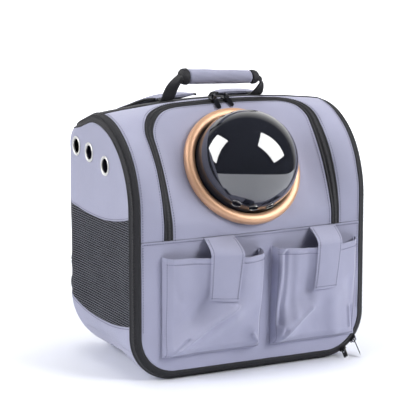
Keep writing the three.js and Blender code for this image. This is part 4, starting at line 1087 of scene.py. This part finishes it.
for name in tabs:
    u, down = np.linspace(0, 1, 34), np.linspace(0, 1, 100)[:, None]
    u, down = u + 0 * down, down + 0 * u
    edge = np.minimum(np.minimum(u, 1 - u) * tabForm["width"], (1 - down) * tabForm["drop"])
    soft = 0.5 * ease(0, 3, edge) + 0.4 * softNoise(u * tabForm["width"], down * 80, 36, 81)
    at = onTab(name, u, down, soft - 0.4)
    tangentU, tangentD = np.gradient(at, axis=1), np.gradient(at, axis=0)
    out = np.cross(tangentU, tangentD)
    out = unit(out * np.sign(-out[..., 1:2]))
    clothPiece(name + "PocketTab", at, out, tabForm["wall"], stack(at[..., 0], at[..., 2]), lilac,
               instead=(name + "_pocket_tab",))
    inset, end, proud = tabForm["stitchInset"], tabForm["stitchEnd"], tabForm["stitchProud"]
    t = np.linspace(0.03, end, 70)
    for column in (inset, 1 - inset):
        frontStitch(onTab(name, column + 0 * t, t, proud))
    t = np.linspace(inset, 1 - inset, 30)
    frontStitch(onTab(name, t, end + 0 * t, proud))
print("pockets made")

# Seam stitches on the bag itself.
seam = {"half": 160, "below": 3.2, "inside": 2.6, "outside": 2.2, "proud": 0.3}
x = np.linspace(-seam["half"], seam["half"], 200)
stitchPaths.append(onWrap(x, bag["seamHeight"] - seam["below"] + 0 * x, 1.0))
for grow in (-seam["inside"], window["zipWidth"] + seam["outside"]):
    rimLine = flapRim(grow)
    stitchPaths.append(onWrap(rimLine[:, 0], rimLine[:, 1], 0.25))
for way in (-1, 1):
    s = np.linspace(70, topSeam - 4, 200)
    stitchPaths.append(onWrap(way * (halfWidthAt(s) - seam["inside"]), s, seam["proud"]))
    u = np.linspace(0.01, 0.99, 120)
    for line, shift in ((netHigh(0), seam["inside"]), (netLow(0), -seam["inside"])):
        yz = line(u)
        stitchPaths.append(onSide(way, yz[:, 0], yz[:, 1] + shift, seam["proud"]))
beadPiece("stitches", stitchPaths, thread, stitch)

# Handle: a rolled grip between two folded webbing legs.
handle = {
    "length": 97, "y": -1, "ends": {-1: {"thick": 21, "height": 390}, 1: {"thick": 18, "height": 384}},
    "span": 138, "web": 18, "wall": 3, "bow": {-1: -4, 1: 2}, "seamDip": 0.9,
    "seamTurn": 1.5 * math.pi - 0.35,
}
gripHalf = handle["length"] / 2


def gripSection(x, shrink=0):
    t = (x + gripHalf) / handle["length"]
    thick = mix(handle["ends"][-1]["thick"], handle["ends"][1]["thick"], t)
    height = mix(handle["ends"][-1]["height"], handle["ends"][1]["height"], t)
    turn = fullTurn(48)
    uneven = 0.012 * np.sin(3 * turn + x / 9) + 0.010 * np.sin(7 * turn - x / 5)
    seamDip = handle["seamDip"] * hump(turn, handle["seamTurn"], 0.09)
    radius = (thick / 2 - shrink) * (1 + uneven) - seamDip
    return stack(x, handle["y"] + radius * np.cos(turn), height + radius * np.sin(turn))


reach = gripHalf - gap
ends = {"inset": np.array([0, 0.5, 1.4]), "shrink": np.array([2.4, 1.3, 0.5])}
stations = np.concatenate([
    ends["inset"] - reach, np.linspace(-reach + 3, reach - 3, 60), reach - ends["inset"][::-1],
])
shrinks = np.concatenate([
    ends["shrink"], 0.25 * np.cos(np.linspace(0, 2 * math.pi, 60)) ** 2, ends["shrink"][::-1],
])
sections = [gripSection(x, shrink) for x, shrink in zip(stations, shrinks)]
grip = barPiece("handleGrip", sections, padding, instead=("handle_grip",))
for name, way in bothSides:
    cap = ((0.4, 1.2), (0.4, -0.2), (1.2, -0.9), (4.5, -0.7), (8, 0.2), (10.5, 2.4), (11.5, 4.5))
    sections = [gripSection(way * (gripHalf + d), shrink) for d, shrink in cap]
    barPiece("gripBinding" + name.title(), sections, tape, slot="webbing")


def spline(keys, count):
    keys = np.asarray(keys, float)
    padded = np.concatenate([2 * keys[:1] - keys[1:2], keys, 2 * keys[-1:] - keys[-2:-1]])
    rows = []
    for t in np.linspace(0, len(keys) - 1, count):
        i = min(int(t), len(keys) - 2)
        f = t - i
        a, b, c, d = padded[i:i + 4]
        bend, twist = 2 * a - 5 * b + 4 * c - d, 3 * b - a - 3 * c + d
        rows.append(0.5 * (2 * b + (c - a) * f + bend * f ** 2 + twist * f ** 3))
    return np.array(rows)


def webSections(keys, count, corners=20):
    rows = spline([np.concatenate([*key[:3], key[3:]]) for key in keys], count)
    turn = fullTurn(corners) + math.pi / corners
    a = np.sign(np.cos(turn)) * np.abs(np.cos(turn)) ** 0.25
    b = np.sign(np.sin(turn)) * np.abs(np.sin(turn)) ** 0.45
    sections = []
    for row in rows:
        across = unit(row[3:6])
        out = unit(row[6:9] - across * (row[6:9] @ across))
        sections.append(row[:3] + np.outer(a * row[9] / 2, across) + np.outer(b * row[10] / 2, out))
    return sections


for name, way in bothSides:
    end = handle["ends"][way]
    footX = way * handle["span"] / 2
    back, front = (onWrap(footX, topSeam + d, handle["wall"] / 2 + 1.1)[0] for d in (17.5, 6))
    over = np.array([
        footX + way * handle["bow"][way], mix(front[1], handle["y"], 0.45),
        mix(front[2], end["height"], 0.55),
    ])
    shoulder = np.array([way * (gripHalf + 12), handle["y"] + 1, end["height"] - 3])
    inGrip = np.array([way * gripHalf, handle["y"], end["height"]])
    keys = [
        (back, (1, 0, 0), (0, 0.1, 1), handle["web"], handle["wall"]),
        (front, (1, 0, 0), (0, 0.3, 1), handle["web"], handle["wall"]),
        (over, (0.7, 0.7 * way, 0), (-0.7 * way, 0.7, 0), handle["web"], handle["wall"]),
        (shoulder, (0, way, 0), (-0.6 * way, 0, -0.8), handle["web"], end["thick"] / 3),
        (inGrip, (0, way, 0), (0, 0, -1), handle["web"], end["thick"] * 0.75),
    ]
    barPiece("handleLeg" + name.title(), webSections(keys, 46), blackWebbing,
             instead=("handle_leg_" + name,), slot="webbing", sharp=55)
print("handle made")

# Shoulder straps, padded and bound, with webbing from their lower ends to the base.
strap = {
    "topSet": 14, "end": 108, "thick": 11, "webWidth": 25, "webWall": 2.2, "foot": 14, "binding": 1.7,
    "quilt": 0.15, "quiltPitch": 60,
    "stations": (
        (0.00, 48, 62, 1.0, 0.5), (0.06, 52, 68, 1.2, 1.0), (0.16, 62, 70, 2, 1.0), (0.28, 74, 70, 4, 1.0),
        (0.40, 85, 68, 6, 1.0), (0.55, 98, 66, 8, 1.0), (0.70, 110, 62, 9, 1.0), (0.85, 124, 58, 10, 1.0),
        (0.96, 134, 48, 10, 0.9), (1.00, 138, 38, 11, 0.6),
    ),
    "webStations": ((0, 12, 4), (0.18, 18, 6), (0.42, 22, 6), (0.66, 17, 3), (0.86, 7, -8), (1, 1, -20)),
}
strapKeys = np.array(strap["stations"])
strapFirst, strapLast = topStation + strap["topSet"], endStation - strap["end"]
for name, way in bothSides:
    sections, edges = [], [[], []]
    turn = fullTurn(40)
    a = np.sign(np.cos(turn)) * np.abs(np.cos(turn)) ** 0.55
    b = np.sin(turn) * (1 - 0.12 * np.abs(np.cos(turn)))
    for t in np.concatenate([[0, 0.004, 0.012], np.linspace(0.022, 0.985, 110), [0.994, 1.0]]):
        middle, width, proud, thick = (np.interp(t, strapKeys[:, 0], strapKeys[:, i]) for i in range(1, 5))
        s = mix(strapFirst, strapLast, t)
        closing = 0.55 + 0.45 * math.sqrt(min(1, t / 0.02, (1.0001 - t) / 0.012))
        half = strap["thick"] * thick / 2
        core, quilt = proud + half, strap["quilt"] * math.sin(t * strap["quiltPitch"])
        points, _ = onWrap(way * middle + a * width / 2, s + 0 * a, core + b * (half * closing + quilt))
        sections.append(points)
        for edge, sign in zip(edges, (-1, 1)):
            edge.append(onWrap(way * middle + sign * width / 2, s, core)[0])
    pad = barPiece("shoulderStrap" + name.title(), sections, padding, instead=("shoulder_strap_" + name,))
    for number, edge in enumerate(edges):
        path = np.array(edge)
        tangent = unit(np.gradient(path, axis=0))
        across = unit(np.cross(tangent, (0, 0, 1)) + 1e-6)
        up = np.cross(across, tangent)
        girth = fullTurn(12)[None, :, None]
        sideways, upward = np.cos(girth) * across[:, None], np.sin(girth) * up[:, None]
        tube = path[:, None] + strap["binding"] * (sideways + upward)
        barPiece(f"strapBinding{name.title()}{number + 1}", tube, tape, slot="webbing")
    low, top = bag["rearEdge"] + strap["foot"], strap["end"] - gap
    keys = []
    for drop, proud, outward in strap["webStations"]:
        z = mix(top, low, drop)
        x = way * (strapKeys[-1, 1] + outward)
        at, _ = onWrap(x, endStation - z, proud + strap["webWall"] / 2 + gap)
        keys.append((at, (1, 0, 0), (0, 1, 0.01), strap["webWidth"], strap["webWall"]))
    barPiece("strapWebbing" + name.title(), webSections(keys, 50), blackWebbing,
             instead=("strap_webbing_" + name,), slot="webbing", sharp=55)
print("straps made")

# Ring and dome, turned about the line that points out of the flap.
toWorld = np.eye(4)
toWorld[:3, :3] = np.column_stack([[1, 0, 0], chordOut, np.cross([1, 0, 0], chordOut)])
toWorld[:3, 3] = ringCentre
ringInner = window["ringOuter"] - window["ringWidth"]
ring = {"shoulder": 4.5, "fullness": 0.75, "steps": 160}
crest = []
for t in np.linspace(0.02, math.pi - 0.02, 30):
    rise = ring["shoulder"] + (window["ringThickness"] - ring["shoulder"]) * math.sin(t) ** ring["fullness"]
    crest.append((window["ringOuter"] - window["ringWidth"] / 2 * (1 + math.cos(t)), gap + rise))
outerLip = [(window["ringOuter"], gap + 1.2), (window["ringOuter"] - 0.6, gap + 0.2)]
ringProfile = [(ringInner, gap), *crest, *outerLip]
spunPiece("domeRing", ringProfile, ring["steps"], toWorld, copper,
          instead=("dome_ring",), slot="ring", sharp=60)

dome = {
    "fit": 0.6, "wall": 2, "collar": 19, "ventRadius": 7, "vents": 3, "ventStep": 20.5,
    "ventSwing": -9.4, "ventLift": 5.5, "ventRim": (0.3, 0.35), "ventProud": 0.1, "steps": 128,
}
domeRadius = ringInner - dome["fit"]


def domeArc(radius, reverse=False):
    turn = np.linspace(0, math.pi / 2, 44)
    points = [(radius * math.cos(t), dome["collar"] + radius * math.sin(t)) for t in turn]
    return points[::-1] if reverse else points


plane = [*chordOut, float(ringCentre @ chordOut) * mm]
acrylic = smokedAcrylic("smokedAcrylic", plane, (dome["collar"] - 2) * mm, (dome["collar"] + 12) * mm)
domeProfile = [
    (domeRadius, gap), *domeArc(domeRadius), *domeArc(domeRadius - dome["wall"], True),
    (domeRadius - dome["wall"], gap),
]
drills = []
for number in range(dome["vents"]):
    swing = math.radians(dome["ventSwing"] + (number - 1) * dome["ventStep"])
    way = toWorld[:3, :3] @ np.array([math.sin(swing), 0, math.cos(swing)])
    spot = ringCentre + way * domeRadius + chordOut * (dome["collar"] + dome["ventLift"])
    ventSide = np.cross(way, chordOut)
    ventWorld = np.eye(4)
    ventWorld[:3, :3] = np.column_stack([ventSide, way, np.cross(ventSide, way)])
    ventWorld[:3, 3] = spot
    turns = fullTurn(14)
    rimProfile = stack(
        dome["ventRadius"] + dome["ventRim"][0] * np.cos(turns),
        dome["ventProud"] + dome["ventRim"][1] * np.sin(turns),
    )
    spunPiece(f"domeVentRim{number + 1}", rimProfile, 40, ventWorld, chrome, slot="dome")
    shape = bmesh.new()
    bmesh.ops.create_cone(shape, cap_ends=True, segments=40, radius1=dome["ventRadius"] * mm,
                          radius2=dome["ventRadius"] * mm, depth=12 * mm)
    drill = bpy.data.objects.new(f"drill{number + 1}", bpy.data.meshes.new("drill"))
    shape.to_mesh(drill.data)
    shape.free()
    drillTurn = np.eye(4)
    drillTurn[:3, :3] = np.column_stack([ventSide, np.cross(way, ventSide), way])
    drillTurn[:3, 3] = spot * mm
    drill.data.transform(Matrix(drillTurn.tolist()))
    scene.collection.objects.link(drill)
    drills.append(drill)
spunPiece("domeWindow", domeProfile, dome["steps"], toWorld, acrylic,
          instead=("dome",), slot="dome", sharp=50, welded=True, cutters=drills)
print("dome made")

# Zip hardware keeps its solids: dark plated metal, and bright pullers at the lower corner.
for node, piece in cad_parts.items():
    if "slider" in node or "puller" in node:
        metal = gunmetal if "top" in node or "slider" in node else chrome
        piece.data.materials.clear()
        piece.data.materials.append(metal)


def planePiece(name, points, material):
    mesh = bpy.data.meshes.new(name)
    mesh.from_pydata(points, [], [list(range(len(points)))])
    mesh.materials.append(material)
    piece = bpy.data.objects.new(name, mesh)
    scene.collection.objects.link(piece)
    return piece


# The floor is a pale sheet that ends in a round edge before the bag, as the dome reflects it. Behind the
# bag it glows more and more, so that it meets the white room.
stage = {
    "turn": math.radians(-26.93), "half": 0.86, "front": 0.98, "back": 14, "flare": 3.2, "drop": 0.0006,
    "glowFrom": 0.2, "glowTo": 1.6, "glow": 0.9,
}
view = (-math.sin(stage["turn"]), math.cos(stage["turn"]))
floorRecipe = Recipe("paleFloor")
spot, (floorX, floorY, _) = floorRecipe.place("Object")
beyond = (floorX * view[0] + floorY * view[1] - stage["glowFrom"]) / (stage["glowTo"] - stage["glowFrom"])
glow = beyond.clamped()
paleFloor = floorRecipe.surface(
    Base_Color=floorRecipe.blend(
        floorRecipe.noise(spot, 3.0), tone(0.84, 0.86, 0.93), tone(0.88, 0.90, 0.97),
    ),
    Roughness=0.7, Emission_Strength=stage["glow"],
    Emission_Color=floorRecipe.blend(glow, tone(0, 0, 0), tone(1, 1, 1)),
)
turns = np.linspace(-math.pi / 2, math.pi / 2, 40)
rounded = [(stage["half"] * math.sin(t), -stage["front"] * math.cos(t)) for t in turns]
sheet = [(-stage["flare"], stage["back"]), *rounded, (stage["flare"], stage["back"])]
turned = Matrix.Rotation(stage["turn"], 3, "Z")
planePiece("floor", [turned @ Vector((x, y, -stage["drop"])) for x, y in sheet], paleFloor)

# Softboxes seen in the dome, and wider lamps that only light the cloth.
lights = {
    "leftSoftbox": {
        "place": (-0.972, 0.402, 0.792), "across": (-0.172, 0.94, 0.295), "up": (0.457, -0.189, 0.869),
        "size": (0.944, 0.838), "power": 17,
    },
    "rightSoftbox": {
        "place": (0.615, -0.921, 0.881), "across": (-0.423, -0.888, -0.182), "up": (-0.645, 0.153, 0.749),
        "size": (0.801, 1.223), "power": 22,
    },
    "leftFill": {"place": (-2.6, -0.2, 1.5), "size": (1.6, 1.6), "power": 62},
    "rightFill": {"place": (1.6, -2.3, 1.7), "size": (1.3, 1.3), "power": 78},
    "overhead": {"place": (0.2, 0.3, 2.6), "size": (2, 2), "power": 40},
}
for name, light in lights.items():
    lamp = bpy.data.lights.new(name, "AREA")
    lamp.shape = "RECTANGLE"
    lamp.size, lamp.size_y = light["size"]
    lamp.energy = light["power"]
    holder = bpy.data.objects.new(name, lamp)
    holder.location = light["place"]
    if "across" not in light:
        away = Vector((0, 0, 0.2)) - holder.location
        holder.rotation_euler = away.to_track_quat("-Z", "Y").to_euler()
        holder.visible_glossy = False
    else:
        across, up = Vector(light["across"]).normalized(), Vector(light["up"]).normalized()
        basis = Matrix((across, up, across.cross(up))).transposed()
        toBag = Vector((0, -0.08, 0.28)) - holder.location
        if basis.col[2].dot(toBag) > 0:
            basis = Matrix((-across, up, (-across).cross(up))).transposed()
        holder.rotation_euler = basis.to_euler()
        holder.visible_diffuse = False
    holder.visible_transmission = False
    scene.collection.objects.link(holder)

# The camera sees a white room. Reflections see it white behind the bag and dark in front, so the dome's
# rim catches light.
world = bpy.data.worlds.new("studio")
scene.world = world
world.use_nodes = True
room = Recipe("room", world.node_tree)
background = world.node_tree.nodes["Background"]
_, (eastward, northward, upward) = room.place("Generated")
behind = eastward * view[0] + northward * view[1]
mirrored = room.add("LightPath", output=3)
seen = room.add("LightPath", output=0)
behind = (behind * (mirrored + 1.6) + 0.15 - mirrored * 1.55 + seen * 4.0).clamped()
room.feed(background.inputs[0], room.blend(behind, tone(0.035, 0.036, 0.042), tone(1.0, 1.0, 1.0)))
background.inputs[1].default_value = 1.0
print("stage and lights set")
